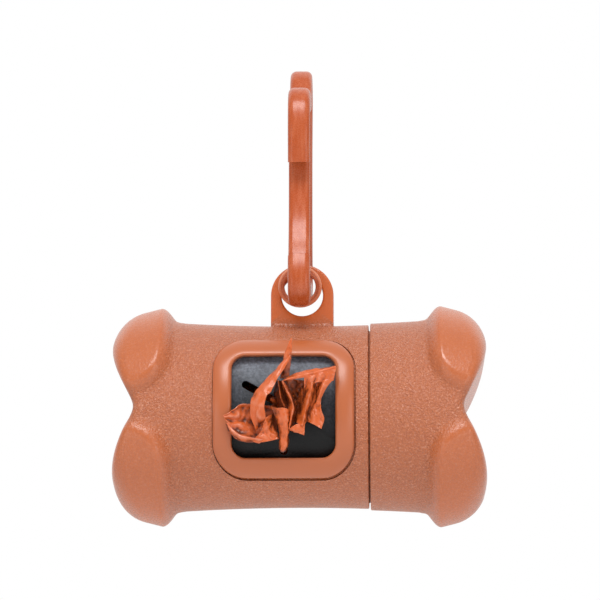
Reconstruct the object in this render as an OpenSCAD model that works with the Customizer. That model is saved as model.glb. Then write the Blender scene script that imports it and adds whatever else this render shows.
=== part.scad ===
// Bone-shaped dispenser for a roll of waste bags, with a plastic snap hook.
// X runs along the barrel with the cap at +X, the window faces -Y, +Z is up.
// The origin is the point inside the hook's crown on which the whole thing hangs.

/* [Barrel] */
// Distance from the middle of the barrel to the tips of its knobs
end_x = 40.9; // [38:0.1:46]
// Outer radius of the barrel at its waist
barrel_r = 20; // [19.6:0.1:22]
// How much wider than its waist the barrel is where the knobs start
barrel_flare = 0.85; // [0.3:0.05:1.5]
// Thickness of the barrel's wall at its waist
barrel_wall = 2.6; // [2.4:0.1:3.2]
// Thickness of the two end walls at the bottom of their valleys
end_wall = 2; // [1.4:0.1:3]

/* [Knobs] */
// How far a knob's crest stands out of the barrel
knob_proud = 3.2; // [2:0.1:4]
// Length of a knob on the barrel, from its foot to its tip
knob_l = 13.5; // [12:0.1:17]
// Length of a knob on the cap, from its foot to its tip
cap_knob_l = 13; // [12:0.1:16]
// Height above and below the axis at which the knobs start
knob_gap = 2.7; // [1.5:0.1:5]
// Radius of a knob's corner, seen from the front
knob_corner = 9; // [6:0.1:11]
// Width of the rounded rim of a knob
knob_rim = 3.1; // [2:0.1:4]
// Fall of a knob's back towards its tip, in mm per mm
knob_fall = 0.25; // [0.1:0.01:0.4]
// Depth of the valley between the two knobs of one end
valley_depth = 5.2; // [3:0.1:6]
// Distance from the axis at which a knob's end face is full
valley_span = 14; // [10:0.1:17]
// Rounding of the end of a knob
tip_round = 9; // [5:0.1:10]
// Rounding of the end at the valley
valley_round = 1.8; // [1:0.1:3]

/* [Cap] */
// Place of the seam between barrel and cap
seam_x = 15.1; // [14:0.1:18]
// Width of the open seam line
seam_gap = 0.35; // [0.2:0.05:0.6]
// How much larger than the barrel the cap is
cap_step = 0.3; // [0:0.05:0.6]
// Length of the neck that the cap slides on
neck_l = 8; // [6:0.1:11]
// Wall of the neck
neck_wall = 1.5; // [1.2:0.1:1.7]
// Running clearance of the cap on the neck
cap_fit = 0.05; // [0.02:0.01:0.09]

/* [Tab] */
// Width of the hanging tab
tab_w = 13.9; // [12:0.1:17]
// Thickness of the hanging tab
tab_t = 2.6; // [2:0.1:3]
// Distance of the tab from the middle of the barrel, towards the cap
tab_x = 0.4; // [-3:0.1:4]
// Radius of the eye in the tab
eye_r = 4.6; // [4.2:0.1:5]
// Height of the eye above the barrel's axis
eye_z = 27.05; // [26.5:0.05:28]

/* [Window] */
// Distance of the window from the middle of the barrel, away from the cap
win_x = 3.2; // [0:0.1:5]
// Clear width of the window inside its bezel
win_w = 22.4; // [20:0.1:24]
// Clear height of the window inside its bezel
win_h = 22.2; // [20:0.1:24]
// Corner radius of the clear window
win_corner = 3; // [2:0.1:5]
// Width of the bezel round the window
bezel_band = 4; // [3:0.1:4.6]
// How far the bezel stands out of the barrel's waist
bezel_proud = 1.5; // [1:0.1:2]
// Thickness of the bezel's skirt
skirt_t = 1.2; // [0.8:0.1:1.6]
// Thickness of the black outlet plate
plate_t = 1; // [0.8:0.1:1.2]
// Thickness of the ledge that carries the outlet plate
ledge_t = 0.8; // [0.6:0.1:1]
// Width of that ledge inside the skirt
ledge_w = 1; // [0.5:0.1:2]
// Width of a slot arm in the plate
slot_w = 1.7; // [1.5:0.1:2.2]
// Length of a slot arm from the middle of the star
slot_l = 10.3; // [7:0.1:11]

/* [Hook] */
// Width of the hook's bar, along the barrel
hook_w = 4.7; // [4:0.1:5.2]
// Distance of the hook from the middle of the barrel, towards the cap
hook_x = 0.1; // [-3:0.1:4]
// Depth of the hook's bar
hook_t = 3.4; // [3:0.1:3.6]
// Width of the gate
gate_w = 4.5; // [3.6:0.1:4.7]
// Depth of the gate
gate_t = 2.5; // [2:0.1:2.8]
// Rounding of the edges of hook and gate
bar_round = 0.9; // [0.5:0.05:1]
// Play between the eye and the bar that it hangs on
eye_play = 0.5; // [0.1:0.05:0.7]

/* [Ring] */
// Radius of the retaining ring to the middle of its wire
ring_r = 4.12; // [3.9:0.01:4.3]
// Thickness of the retaining ring's wire
ring_wire = 1.4; // [1.2:0.1:1.5]
// Tilt of the ring at rest
ring_tilt = 27; // [24:1:32]
// Gap between the ring and the tab
ring_gap = 0.35; // [0.3:0.05:0.6]

/* [Bags] */
// Radius of the partly used roll
roll_r = 12.5; // [9:0.1:13]
// Length of the roll
roll_l = 60; // [50:0.5:64]
// Outer radius of the roll's core
core_r = 6; // [4:0.1:8]
// Wall of the roll's core
core_wall = 1.1; // [0.6:0.1:2]
// How far the core stands out of each end of the roll
core_proud = 0.6; // [0:0.1:1]
// Gap under the roll where it lies in the barrel
roll_gap = 0.3; // [0.2:0.05:0.5]
// Radius of the gathered film where it leaves the slot
film_r = 0.7; // [0.4:0.05:0.75]
// How far the tuft hangs out in front of the bezel
tuft_reach = 5; // [3:0.1:8]

/* [Hidden] */

// Colours
shell_colour = [0.78, 0.42, 0.28];
bezel_colour = [0.84, 0.47, 0.3];
plate_colour = [0.06, 0.065, 0.07];
hook_colour = [0.85, 0.42, 0.24];
film_colour = [0.8, 0.36, 0.2];
core_colour = [0.76, 0.66, 0.52];

// Inner radius of the barrel, round the roll
cavity_r = barrel_r - barrel_wall;

// Heights above the barrel's axis
hook_bar_z = eye_z + eye_r - eye_play - hook_t / 2;
CROWN_RISE = 40.6;
hang_z = hook_bar_z + CROWN_RISE - hook_t / 2;

// Smooth step with a firm foot and a rounded top
function rise(t) = sin(90 * min(1, max(0, t)));

// Radius of the barrel's own curve at x
flare_x = 27;
function waist(x) = barrel_r + barrel_flare * pow(min(abs(x), flare_x) / flare_x, 2);

// Distance inside a knob's outline from its edge, seen from the front
function knob_depth(u, v) = u < knob_corner && v < knob_corner
    ? knob_corner - norm([knob_corner - u, knob_corner - v])
    : min(u, v);

// Radius of the skin at distance x from the middle and angle a about the axis
function skin_r(x, a, foot) = let (r = waist(x))
    r + (knob_proud - knob_fall * max(0, x - foot - knob_rim))
        * rise(knob_depth(x - foot, abs(r * sin(a)) - knob_gap) / knob_rim);

// Distance of the end face from the middle at height z
valley_soft = 1.5;
function face_x(z) = end_x - valley_depth * (1 - rise((norm([z, valley_soft]) - valley_soft) / valley_span));

// Rounding between skin and end face at angle a
function edge_round(a) = valley_round + (tip_round - valley_round) * pow(sin(a), 2);

// Angles of one quarter, closer together where the knobs' rims run
QUARTER = [0, 6, 8.5, 11, 13.5, 16, 18.5, 21, 24, 28, 33, 40, 48, 57, 66, 74, 82];
ROUND = concat(QUARTER, [for (a = [90, for (i = [len(QUARTER) - 1:-1:1]) 180 - QUARTER[i]]) a],
    [for (a = QUARTER) 180 + a], [for (a = [270, for (i = [len(QUARTER) - 1:-1:1]) 360 - QUARTER[i]]) a]);
// Places along the knobs, closer together over the rim
ALONG = [0, 0.09, 0.18, 0.26, 0.34, 0.42, 0.52, 0.64, 0.76, 0.88];
rim_lead = 1.2;
EDGE_STEPS = 6;
FACE_RINGS = [0.8, 0.56, 0.32, 0.12];

// One ring of skin points at a constant x
function waist_ring(x) = [for (a = ROUND) [x, waist(x) * cos(a), waist(x) * sin(a)]];

// Corner where the skin turns into the end face, at angle a
function corner_x(a, foot) = face_x(skin_r(end_x - tip_round, a, foot) * sin(a)) - edge_round(a);
function corner_r(a, foot) = skin_r(corner_x(a, foot), a, foot);

function along_point(f, a, foot) = let (
        start = foot - rim_lead,
        x = start + (corner_x(a, foot) - start) * f,
        r = skin_r(x, a, foot))
    [x, r * cos(a), r * sin(a)];
function edge_point(k, a, foot) = let (
        c = edge_round(a),
        r = corner_r(a, foot) - c + c * cos(k),
        x = face_x(r * sin(a)) - c + c * sin(k))
    [x, r * cos(a), r * sin(a)];
function end_point(f, a, foot) = let (r = (corner_r(a, foot) - edge_round(a)) * f)
    [face_x(r * sin(a)), r * cos(a), r * sin(a)];

function knob_rings(foot) = concat(
    [for (f = ALONG) [for (a = ROUND) along_point(f, a, foot)]],
    [for (k = [0:EDGE_STEPS]) [for (a = ROUND) edge_point(90 * k / EDGE_STEPS, a, foot)]],
    [for (f = FACE_RINGS) [for (a = ROUND) end_point(f, a, foot)]]);

// Closed skin through rings of points, pointed at its far end
module skin(rings, near, far) {
    m = len(rings[0]);
    n = len(rings);
    points = concat([near], [for (ring = rings) each ring], [far]);
    last = n * m + 1;
    faces = concat(
        [for (j = [0:m - 1]) [0, 1 + j, 1 + (j + 1) % m]],
        [for (i = [0:n - 2], j = [0:m - 1]) let (p = 1 + i * m, q = (j + 1) % m)
            each [[p + j, p + m + q, p + q], [p + j, p + m + j, p + m + q]]],
        [for (j = [0:m - 1]) let (p = 1 + (n - 1) * m) [last, p + (j + 1) % m, p + j]]);
    polyhedron(points, faces);
}

// Solid bone end from x = start out to the knobs, towards +X
module bone_end(start, rings_between, foot) {
    xs = [start, for (i = [1:rings_between]) start + (foot - rim_lead - start) * i / (rings_between + 1)];
    skin(concat([for (x = xs) waist_ring(x)], knob_rings(foot)), [start, 0, 0], [face_x(0), 0, 0]);
}

// Rounded rectangle in the XZ plane, drawn as a solid through the front wall
module front_block(w, h, c) {
    translate([-win_x, 0, 0]) rotate([90, 0, 0]) linear_extrude(2 * barrel_r) union() {
        square([w - 2 * c, h], center = true);
        square([w, h - 2 * c], center = true);
        for (sx = [-1, 1], sz = [-1, 1])
            translate([sx * (w / 2 - c), sz * (h / 2 - c)]) circle(r = c, $fn = 48);
    }
}

module along_x(x0, x1, r) {
    translate([x0, 0, 0]) rotate([0, 90, 0]) cylinder(r = r, h = x1 - x0, $fn = 96);
}

plate_in_r = cavity_r + ledge_t;
plate_out_r = plate_in_r + plate_t;
seat_fit = 0.05;
curve_fit = 0.12;
opening_w = win_w + 2 * skirt_t + 2 * seat_fit;
opening_h = win_h + 2 * skirt_t + 2 * seat_fit;
opening_corner = win_corner + skirt_t + seat_fit;
neck_r = cavity_r + neck_wall;
cavity_x = end_x - valley_depth - end_wall;
barrel_foot = end_x - knob_l;
cap_foot = end_x - cap_knob_l;

module tab() {
    root = barrel_r - barrel_wall / 2;
    translate([tab_x, tab_t / 2, 0]) rotate([90, 0, 0]) linear_extrude(tab_t) union() {
        translate([0, eye_z]) circle(d = tab_w, $fn = 96);
        translate([-tab_w / 2, root]) square([tab_w, eye_z - root]);
    }
}

module barrel_shell() {
    color(shell_colour) difference() {
        union() {
            // waist and left knobs
            mirror([1, 0, 0]) bone_end(-seam_x, 5, barrel_foot);
            along_x(seam_x - neck_l / 2, seam_x + neck_l, neck_r);
            tab();
        }
        along_x(-cavity_x, seam_x + neck_l + 1, cavity_r);
        // eye that the hook passes through
        translate([tab_x, tab_t, eye_z]) rotate([90, 0, 0]) cylinder(r = eye_r, h = 2 * tab_t, $fn = 96);
        // rebate for the bezel's skirt and the outlet plate
        difference() {
            front_block(opening_w, opening_h, opening_corner);
            along_x(-end_x, end_x, plate_in_r);
        }
        front_block(win_w - 2 * ledge_w, win_h - 2 * ledge_w, win_corner);
    }
}

module end_cap() {
    start = seam_x + seam_gap;
    color(shell_colour) difference() {
        cap_skin(start);
        along_x(start - 1, seam_x + neck_l, neck_r + cap_fit);
        along_x(start - 1, cavity_x, cavity_r);
    }
}

// The cap's outer skin, a step larger than the barrel's
module cap_skin(start) {
    xs = [start, (start + cap_foot - rim_lead) / 2];
    rings = concat([for (x = xs) waist_ring(x)], knob_rings(cap_foot));
    stepped = [for (ring = rings) [for (p = ring) let (r = norm([p.y, p.z]), k = r > cavity_r ? (r + cap_step) / r : 1)
        [p.x, p.y * k, p.z * k]]];
    skin(stepped, [start, 0, 0], [face_x(0), 0, 0]);
}

// The bezel's outline, seen from the front, drawn in by d
bezel_w = win_w + 2 * bezel_band;
bezel_h = win_h + 2 * bezel_band;
bezel_corner = win_corner + bezel_band;
CORNER_STEPS = 6;
SIDE_STEPS = 7;
DOME_STEPS = 6;
// Height of the rounded face over its edges, and how full its rounding is
dome_rise = 0.8;
dome_fullness = 0.6;
function corner_points(d) = [for (q = [0:3]) each concat(
    [for (k = [0:CORNER_STEPS]) let (
            a = 90 * q + 90 * k / CORNER_STEPS,
            sx = (q == 0 || q == 3) ? 1 : -1,
            sz = q < 2 ? 1 : -1)
        [sx * (bezel_w / 2 - bezel_corner) + (bezel_corner - d) * cos(a),
         sz * (bezel_h / 2 - bezel_corner) + (bezel_corner - d) * sin(a)]],
    // the upright sides also follow the barrel's curve
    [if (q == 1 || q == 3) for (k = [1:SIDE_STEPS - 1]) let (
            s = (q == 1 ? 1 : -1), f = 1 - 2 * k / SIDE_STEPS)
        [-s * (bezel_w / 2 - d), s * f * (bezel_h / 2 - bezel_corner)]])];

module window_bezel() {
    top_r = barrel_r + bezel_proud;
    // the section from under the outer edge, over the rounded face, and down the skirt
    dome = [for (k = [0:DOME_STEPS]) let (a = 180 * k / DOME_STEPS)
        [bezel_band / 2 * (1 - cos(a)), dome_rise * (pow(sin(a), dome_fullness) - 1)]];
    section = concat([[0, "waist"]], [for (p = dome) [p[0], top_r + p[1]]],
        [[bezel_band, plate_out_r + curve_fit], [bezel_band - skirt_t, plate_out_r + curve_fit], [bezel_band - skirt_t, "waist"]]);
    outlines = [for (s = section) corner_points(s[0])];
    m = len(outlines[0]);
    n = len(section);
    points = [for (i = [0:n - 1], j = [0:m - 1]) let (
            p = outlines[i][j],
            x = p[0] - win_x,
            r = section[i][1] == "waist" ? waist(x) + curve_fit : section[i][1])
        [x, -sqrt(r * r - p[1] * p[1]), p[1]]];
    faces = [for (i = [0:n - 1], j = [0:m - 1]) let (p = i * m, q = ((i + 1) % n) * m, k = (j + 1) % m)
        each [[p + j, q + j, q + k], [p + j, q + k, p + k]]];
    color(bezel_colour) polyhedron(points, faces);
}

module outlet_plate() {
    color(plate_colour) difference() {
        intersection() {
            front_block(opening_w - 2 * seat_fit, opening_h - 2 * seat_fit, opening_corner - seat_fit);
            difference() {
                along_x(-end_x, end_x, plate_out_r);
                along_x(-end_x, end_x, plate_in_r);
            }
        }
        // star slot that the bags are pulled through
        for (a = [30, 150, 270]) slot_arm(a);
    }
}

module slot_arm(a) {
    translate([-win_x, 0, 0]) rotate([90, 0, 0]) linear_extrude(2 * barrel_r) rotate(a) union() {
        translate([0, -slot_w / 2]) square([slot_l - slot_w / 2, slot_w]);
        translate([slot_l - slot_w / 2, 0]) circle(d = slot_w, $fn = 32);
        circle(d = slot_w, $fn = 32);
    }
}

// Smooth curve through points in the YZ plane
PER_SPAN = 3;
function blend_point(p, q, r, s, t) = 0.5 * ((2 * q) + (r - p) * t
    + (2 * p - 5 * q + 4 * r - s) * t * t + (3 * q - p - 3 * r + s) * t * t * t);
function curve(p) = concat([for (i = [0:len(p) - 2], k = [0:PER_SPAN - 1]) blend_point(
        p[max(0, i - 1)], p[i], p[i + 1], p[min(len(p) - 1, i + 2)], k / PER_SPAN)], [p[len(p) - 1]]);

// Rounded bar of width w and depth t along the stretch of a line between two of its points
BAR_CORNER = 2;
module bar(line, first, end, w, t) {
    c = bar_round;
    section = [for (q = [0:3], k = [0:BAR_CORNER]) let (
            a = 90 * q + 90 * k / BAR_CORNER,
            sx = (q == 0 || q == 3) ? 1 : -1,
            sn = q < 2 ? 1 : -1)
        [sx * (w / 2 - c) + c * cos(a), sn * (t / 2 - c) + c * sin(a)]];
    n = end - first + 1;
    m = len(section);
    points = [for (i = [first:end]) let (
            d = line[min(len(line) - 1, i + 1)] - line[max(0, i - 1)],
            along = d / norm(d),
            out = [-along[1], along[0]])
        for (s = section) [s[0], line[i][0] + out[0] * s[1], line[i][1] + out[1] * s[1]]];
    faces = concat([[for (j = [0:m - 1]) m - 1 - j]],
        [for (i = [0:n - 2], j = [0:m - 1]) let (p = i * m, q = (j + 1) % m)
            each [[p + j, p + q, p + m + q], [p + j, p + m + q, p + m + j]]],
        [[for (j = [0:m - 1]) (n - 1) * m + j]]);
    polyhedron(points, faces);
}

// Middle line of the whole hook, from the gate's tip down to its root and round to the nose:
// distance from the eye's plane, height above the bar in the eye
GATE_POINTS = [[-9.1, 29.5], [-8.9, 25], [-8.9, 19], [-9.6, 13], [-11.1, 8.2]];
FRAME_POINTS = [[-12.8, 4.2], [-13.7, 0.2], [-13, -3.2], [-10.8, -4.6], [-8.9, -3.2], [-7.2, -1.3], [-4.2, -0.3],
    [0, 0], [4.2, -0.3], [7.2, -1.3], [8.9, -3.2], [10.8, -4.6], [13, -3.2], [13.7, 0.2], [12.6, 4.6], [10.4, 9],
    [9.4, 17], [9.6, 28], [11, 35], [13, 41.2], [12.7, 46.4], [9.4, 49], [5.8, 47.2], [2.9, 43.2], [0, CROWN_RISE],
    [-4.6, 40.6], [-9, 41.2], [-12.5, 38.8], [-13.7, 34.6], [-13.4, 30], [-12.6, 25.4]];
HOOK_LINE = curve(concat(GATE_POINTS, FRAME_POINTS));
gate_root = PER_SPAN * len(GATE_POINTS);

module hook_frame() {
    color(hook_colour) translate([hook_x, 0, hook_bar_z]) bar(HOOK_LINE, gate_root, len(HOOK_LINE) - 1, hook_w, hook_t);
}

module hook_gate() {
    color(hook_colour) translate([hook_x, 0, hook_bar_z]) bar(HOOK_LINE, 0, gate_root, gate_w, gate_t);
}

// Middle of the retaining ring, just in front of the tab
ring_y = -(tab_t / 2 + ring_gap + ring_wire / 2 + ring_r * sin(ring_tilt));
ring_drop = 0.95;
ring_z = hook_bar_z - ring_drop;
module retaining_ring() {
    color(hook_colour) translate([hook_x, ring_y, ring_z]) rotate([90 - ring_tilt, 0, 0])
        rotate_extrude($fn = 96) translate([ring_r, 0]) circle(d = ring_wire, $fn = 32);
}

// The roll lies on the bottom of the barrel
roll_z = -(cavity_r - roll_r - roll_gap);
roll_edge = roll_r / 20;
module bag_roll() {
    color(film_colour) translate([0, 0, roll_z]) rotate([0, 90, 0]) rotate_extrude($fn = 96)
        polygon([[core_r, -roll_l / 2], [roll_r - roll_edge, -roll_l / 2], [roll_r, -roll_l / 2 + roll_edge],
            [roll_r, roll_l / 2 - roll_edge], [roll_r - roll_edge, roll_l / 2], [core_r, roll_l / 2]]);
}

module roll_core() {
    half = roll_l / 2 + core_proud;
    color(core_colour) translate([0, 0, roll_z]) difference() {
        along_x(-half, half, core_r);
        along_x(-half - 1, half + 1, core_r - core_wall);
    }
}

// The gathered film between the roll and the tuft
film_gap = 0.35;
film_in_y = sqrt(roll_r * roll_r - roll_z * roll_z) + film_gap;
film_out_y = plate_out_r + film_r;
module bag_neck() {
    color(film_colour) translate([-win_x, -film_in_y, 0]) rotate([90, 0, 0])
        cylinder(r = film_r, h = film_out_y - film_in_y, $fn = 32);
}

// Crumpled sheets of film that stand out of the slot. Each one is a fan of flat folds between the gather
// at the slot's mouth and its rim. A rim point is [across, out, up]: across and up in halves of the window's
// width, out in parts of the tuft's depth.
CUP = [[-0.65, 0.82, 0], [-0.87, 0.74, -0.1], [-1.14, 0.58, -0.22], [-1, 0.74, -0.56], [-0.74, 0.9, -0.73],
    [-0.4, 0.9, -0.76], [-0.1, 0.66, -0.72]];
TALL_SHEET = [[-0.6, 0.74, -0.24], [-0.6, 0.82, 0.12], [-0.4, 0.82, 0.38], [-0.04, 0.66, 0.75], [0.14, 0.43, 0.98],
    [0, 0.66, 0.63], [-0.2, 0.9, 0.25], [-0.32, 0.9, 0]];
BACK_SPIKE = [[-0.04, 0.5, 0.8], [0.16, 0.1, 1.33], [0.17, 0.2, 1]];
FINGER = [[-0.2, 0.9, -0.07], [0, 0.6, -0.93], [0.12, 0.9, -0.1]];
RIDGE = [[-0.09, 0.82, 0.45], [0.15, 1, -0.5]];
RIGHT_FLAP = [[0.05, 0.58, 0.45], [0.27, 0.66, 0.5], [0.54, 0.74, 0.53], [0.81, 0.66, 0.63], [1.03, 0.5, 0.75],
    [0.96, 0.58, 0.45], [0.78, 0.74, 0.14], [0.81, 0.82, -0.29], [0.7, 0.9, -0.5], [0.42, 0.9, -0.63], [0.15, 0.97, -0.53]];
film_fold = film_r * 0.7;
tuft_depth = barrel_r + bezel_proud + tuft_reach - film_out_y;

module film_corner(size) {
    cube(size, center = true);
}
module film_sheet(rim) {
    spots = [for (p = rim) [p.x * win_w / 2, -p.y * tuft_depth, p.z * win_w / 2]];
    for (i = [1:len(spots) - 1]) hull() {
        film_corner([2 * film_r, film_fold, 2 * film_r]);
        translate(spots[i - 1]) film_corner(film_fold);
        translate(spots[i]) film_corner(film_fold);
    }
}
module bag_tuft() {
    color(film_colour) translate([-win_x, -film_out_y - film_fold / 2, 0])
        for (rim = [CUP, TALL_SHEET, BACK_SPIKE, FINGER, RIDGE, RIGHT_FLAP]) film_sheet(rim);
}

module place() {
    translate([-hook_x, 0, -hang_z]) children();
}

place() hook_frame();
place() hook_gate();
place() retaining_ring();
place() barrel_shell();
place() end_cap();
place() window_bezel();
place() outlet_plate();
place() bag_roll();
place() roll_core();
place() bag_neck();
place() bag_tuft();
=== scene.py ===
"""A bone-shaped dispenser for a roll of waste bags, hung from a plastic snap hook.

Lengths are millimetres, apart from the studio's, which are metres. The part's frame is that of its CAD model,
with +X along the barrel, the window facing -Y and +Z up. The barrel's own frame is turned the same way and has
its origin in the middle of the barrel's axis.
"""
import logging
import math
from dataclasses import dataclass
from enum import Enum
from typing import Sequence, Union

import bmesh
import bpy
import numpy as np
from mathutils import Color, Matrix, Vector, noise


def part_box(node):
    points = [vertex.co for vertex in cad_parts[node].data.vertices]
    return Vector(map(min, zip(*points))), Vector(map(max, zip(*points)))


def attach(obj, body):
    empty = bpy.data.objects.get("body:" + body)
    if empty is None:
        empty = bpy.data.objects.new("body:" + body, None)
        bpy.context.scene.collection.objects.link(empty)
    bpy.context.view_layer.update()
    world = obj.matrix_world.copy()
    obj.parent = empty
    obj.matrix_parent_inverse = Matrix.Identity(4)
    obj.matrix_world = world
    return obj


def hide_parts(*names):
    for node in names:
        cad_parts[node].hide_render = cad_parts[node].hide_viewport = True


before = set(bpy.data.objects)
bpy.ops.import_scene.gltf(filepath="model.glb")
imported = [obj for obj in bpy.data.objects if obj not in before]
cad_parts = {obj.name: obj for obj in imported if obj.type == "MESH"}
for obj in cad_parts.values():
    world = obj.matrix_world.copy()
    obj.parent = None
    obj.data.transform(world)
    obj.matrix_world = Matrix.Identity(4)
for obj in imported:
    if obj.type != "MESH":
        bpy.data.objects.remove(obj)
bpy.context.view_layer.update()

MM = 0.001
LOG = logging.getLogger("dispenser")
TINY = 1e-6  # keeps a division away from zero
MERGE_M = 1e-7  # points closer than this are one
FULL = 255  # the brightest value of a picture's channel
Colour = tuple[float, float, float, float]
Pair = tuple[float, float]
Triple = tuple[float, float, float]
Coordinate = Union[np.ndarray, float]


class Body(Enum):
    """The bodies that pieces ride on."""

    HOOK = "hook"
    GATE = "gate"
    RING = "ring"
    DISPENSER = "dispenser"
    CAP = "cap"
    ROLL = "roll"
    BAG_END = "bag_end"


class Slot(Enum):
    """The slots that pieces take their finish from."""

    SHELL = "shell_plastic"
    BEZEL = "bezel_plastic"
    HOOK = "hook_plastic"
    OUTLET = "outlet_plastic"
    FILM = "bag_film"
    BOARD = "core_board"


def srgb(red: int, green: int, blue: int) -> Colour:
    """Colour for a shader from the 0 to 255 values that a picture shows."""
    return (*Color((red / FULL, green / FULL, blue / FULL)).from_srgb_to_scene_linear(), 1.0)


# ---------------------------------------------------------------- node trees


class Value:
    """An output in a node tree, which adds Math nodes when it is used in an expression."""

    def __init__(self, tree: "NodeBuilder", socket: bpy.types.NodeSocket | None) -> None:
        """Wraps a socket of a tree."""
        self.tree = tree
        self.socket = socket

    def _math(self, operation: str, first: "Number", second: "Number" = 0.0) -> "Value":
        """One Math node on two numbers."""
        return self.tree.add("ShaderNodeMath", {"operation": operation}, {0: first, 1: second})

    def __add__(self, other: "Number") -> "Value":
        """Sum."""
        return self._math("ADD", self, other)

    def __sub__(self, other: "Number") -> "Value":
        """Difference."""
        return self._math("SUBTRACT", self, other)

    def __rsub__(self, other: "Number") -> "Value":
        """Difference with the value on the right."""
        return self._math("SUBTRACT", other, self)

    def __mul__(self, other: "Number") -> "Value":
        """Product."""
        return self._math("MULTIPLY", self, other)

    def __abs__(self) -> "Value":
        """Size without its sign."""
        return self._math("ABSOLUTE", self)

    __radd__ = __add__
    __rmul__ = __mul__


Number = Union[Value, float]


class NodeBuilder:
    """Adds nodes to a tree."""

    def __init__(self, tree: bpy.types.NodeTree) -> None:
        """Empties the tree and holds it."""
        tree.nodes.clear()
        self.tree = tree

    def add(self, kind: str, settings: dict | None = None, inputs: dict | None = None,
            output: int | str = 0) -> Value:
        """Adds a node.

        Args:
            kind: The node's type.
            settings: Its properties, which are set first.
            inputs: Values or links of its sockets, by name or number.
            output: The output that is handed back.

        Returns:
            The chosen output, or an empty value for a node without outputs.
        """
        node = self.tree.nodes.new(kind)
        for key, value in (settings or {}).items():
            setattr(node, key, value)
        for key, value in (inputs or {}).items():
            if isinstance(value, Value):
                self.tree.links.new(value.socket, node.inputs[key])
            else:
                node.inputs[key].default_value = value
        return Value(self, node.outputs[output] if len(node.outputs) else None)

    def ramp(self, value: Value, reach: Pair, result: Pair = (0.0, 1.0)) -> Value:
        """Smooth change from the first to the second result as the value crosses its reach."""
        inputs = dict(zip(("Value", "From Min", "From Max", "To Min", "To Max"), (value, *reach, *result)))
        return self.add("ShaderNodeMapRange", {"interpolation_type": "SMOOTHSTEP"}, inputs)


class FinishTree(NodeBuilder):
    """The node tree of one finish."""

    mix_first, mix_second, mix_result = 6, 7, 2  # a Mix node's colour sockets, whose names aren't unique

    def __init__(self, name: str) -> None:
        """Makes a material with an empty tree.

        Args:
            name: Name of the material.
        """
        self.material = bpy.data.materials.new(name)
        self.material.use_nodes = True
        super().__init__(self.material.node_tree)

    def place(self) -> Value:
        """Place on the piece, in metres."""
        return self.add("ShaderNodeTexCoord", output="Object")

    def stretched(self, scale: Triple) -> Value:
        """Place on the piece with each axis scaled."""
        return self.add("ShaderNodeMapping", None, {"Vector": self.place(), "Scale": scale})

    def noise(self, cell: float, detail: int, at: Value | None = None) -> Value:
        """Soft noise, 0 to 1, with cells of about the given size."""
        return self.add("ShaderNodeTexNoise", None,
                        {"Vector": at or self.place(), "Scale": 1 / (cell * MM), "Detail": float(detail)})

    def pebbles(self, cell: float) -> Value:
        """Distance to the nearest of scattered points, in cells of the given size."""
        return self.add("ShaderNodeTexVoronoi", None, {"Vector": self.place(), "Scale": 1 / (cell * MM)})

    def attribute(self, name: str) -> Value:
        """A number that the mesh holds for each point."""
        return self.add("ShaderNodeAttribute", {"attribute_name": name}, output="Fac")

    def mix(self, share: Number, first: "Colour | Value", second: "Colour | Value") -> Value:
        """Colour between two colours."""
        inputs = {0: share, self.mix_first: first, self.mix_second: second}
        return self.add("ShaderNodeMix", {"data_type": "RGBA"}, inputs, output=self.mix_result)

    def bump(self, height: Value, depth: float, under: Value | None = None) -> Value:
        """Normal of a relief of a depth, over the normal of a coarser relief."""
        inputs = {"Height": height, "Distance": depth * MM, "Strength": 1.0}
        return self.add("ShaderNodeBump", None, inputs | ({"Normal": under} if under else {}))

    def finish(self, **inputs: object) -> bpy.types.Material:
        """Ends the tree in a Principled shader.

        Args:
            **inputs: Its sockets, with underscores for spaces.

        Returns:
            The material.
        """
        sockets = {key.replace("_", " "): value for key, value in inputs.items()}
        shader = self.add("ShaderNodeBsdfPrincipled", None, sockets)
        self.add("ShaderNodeOutputMaterial", None, {"Surface": shader})
        return self.material


# ---------------------------------------------------------------- finishes


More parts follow.
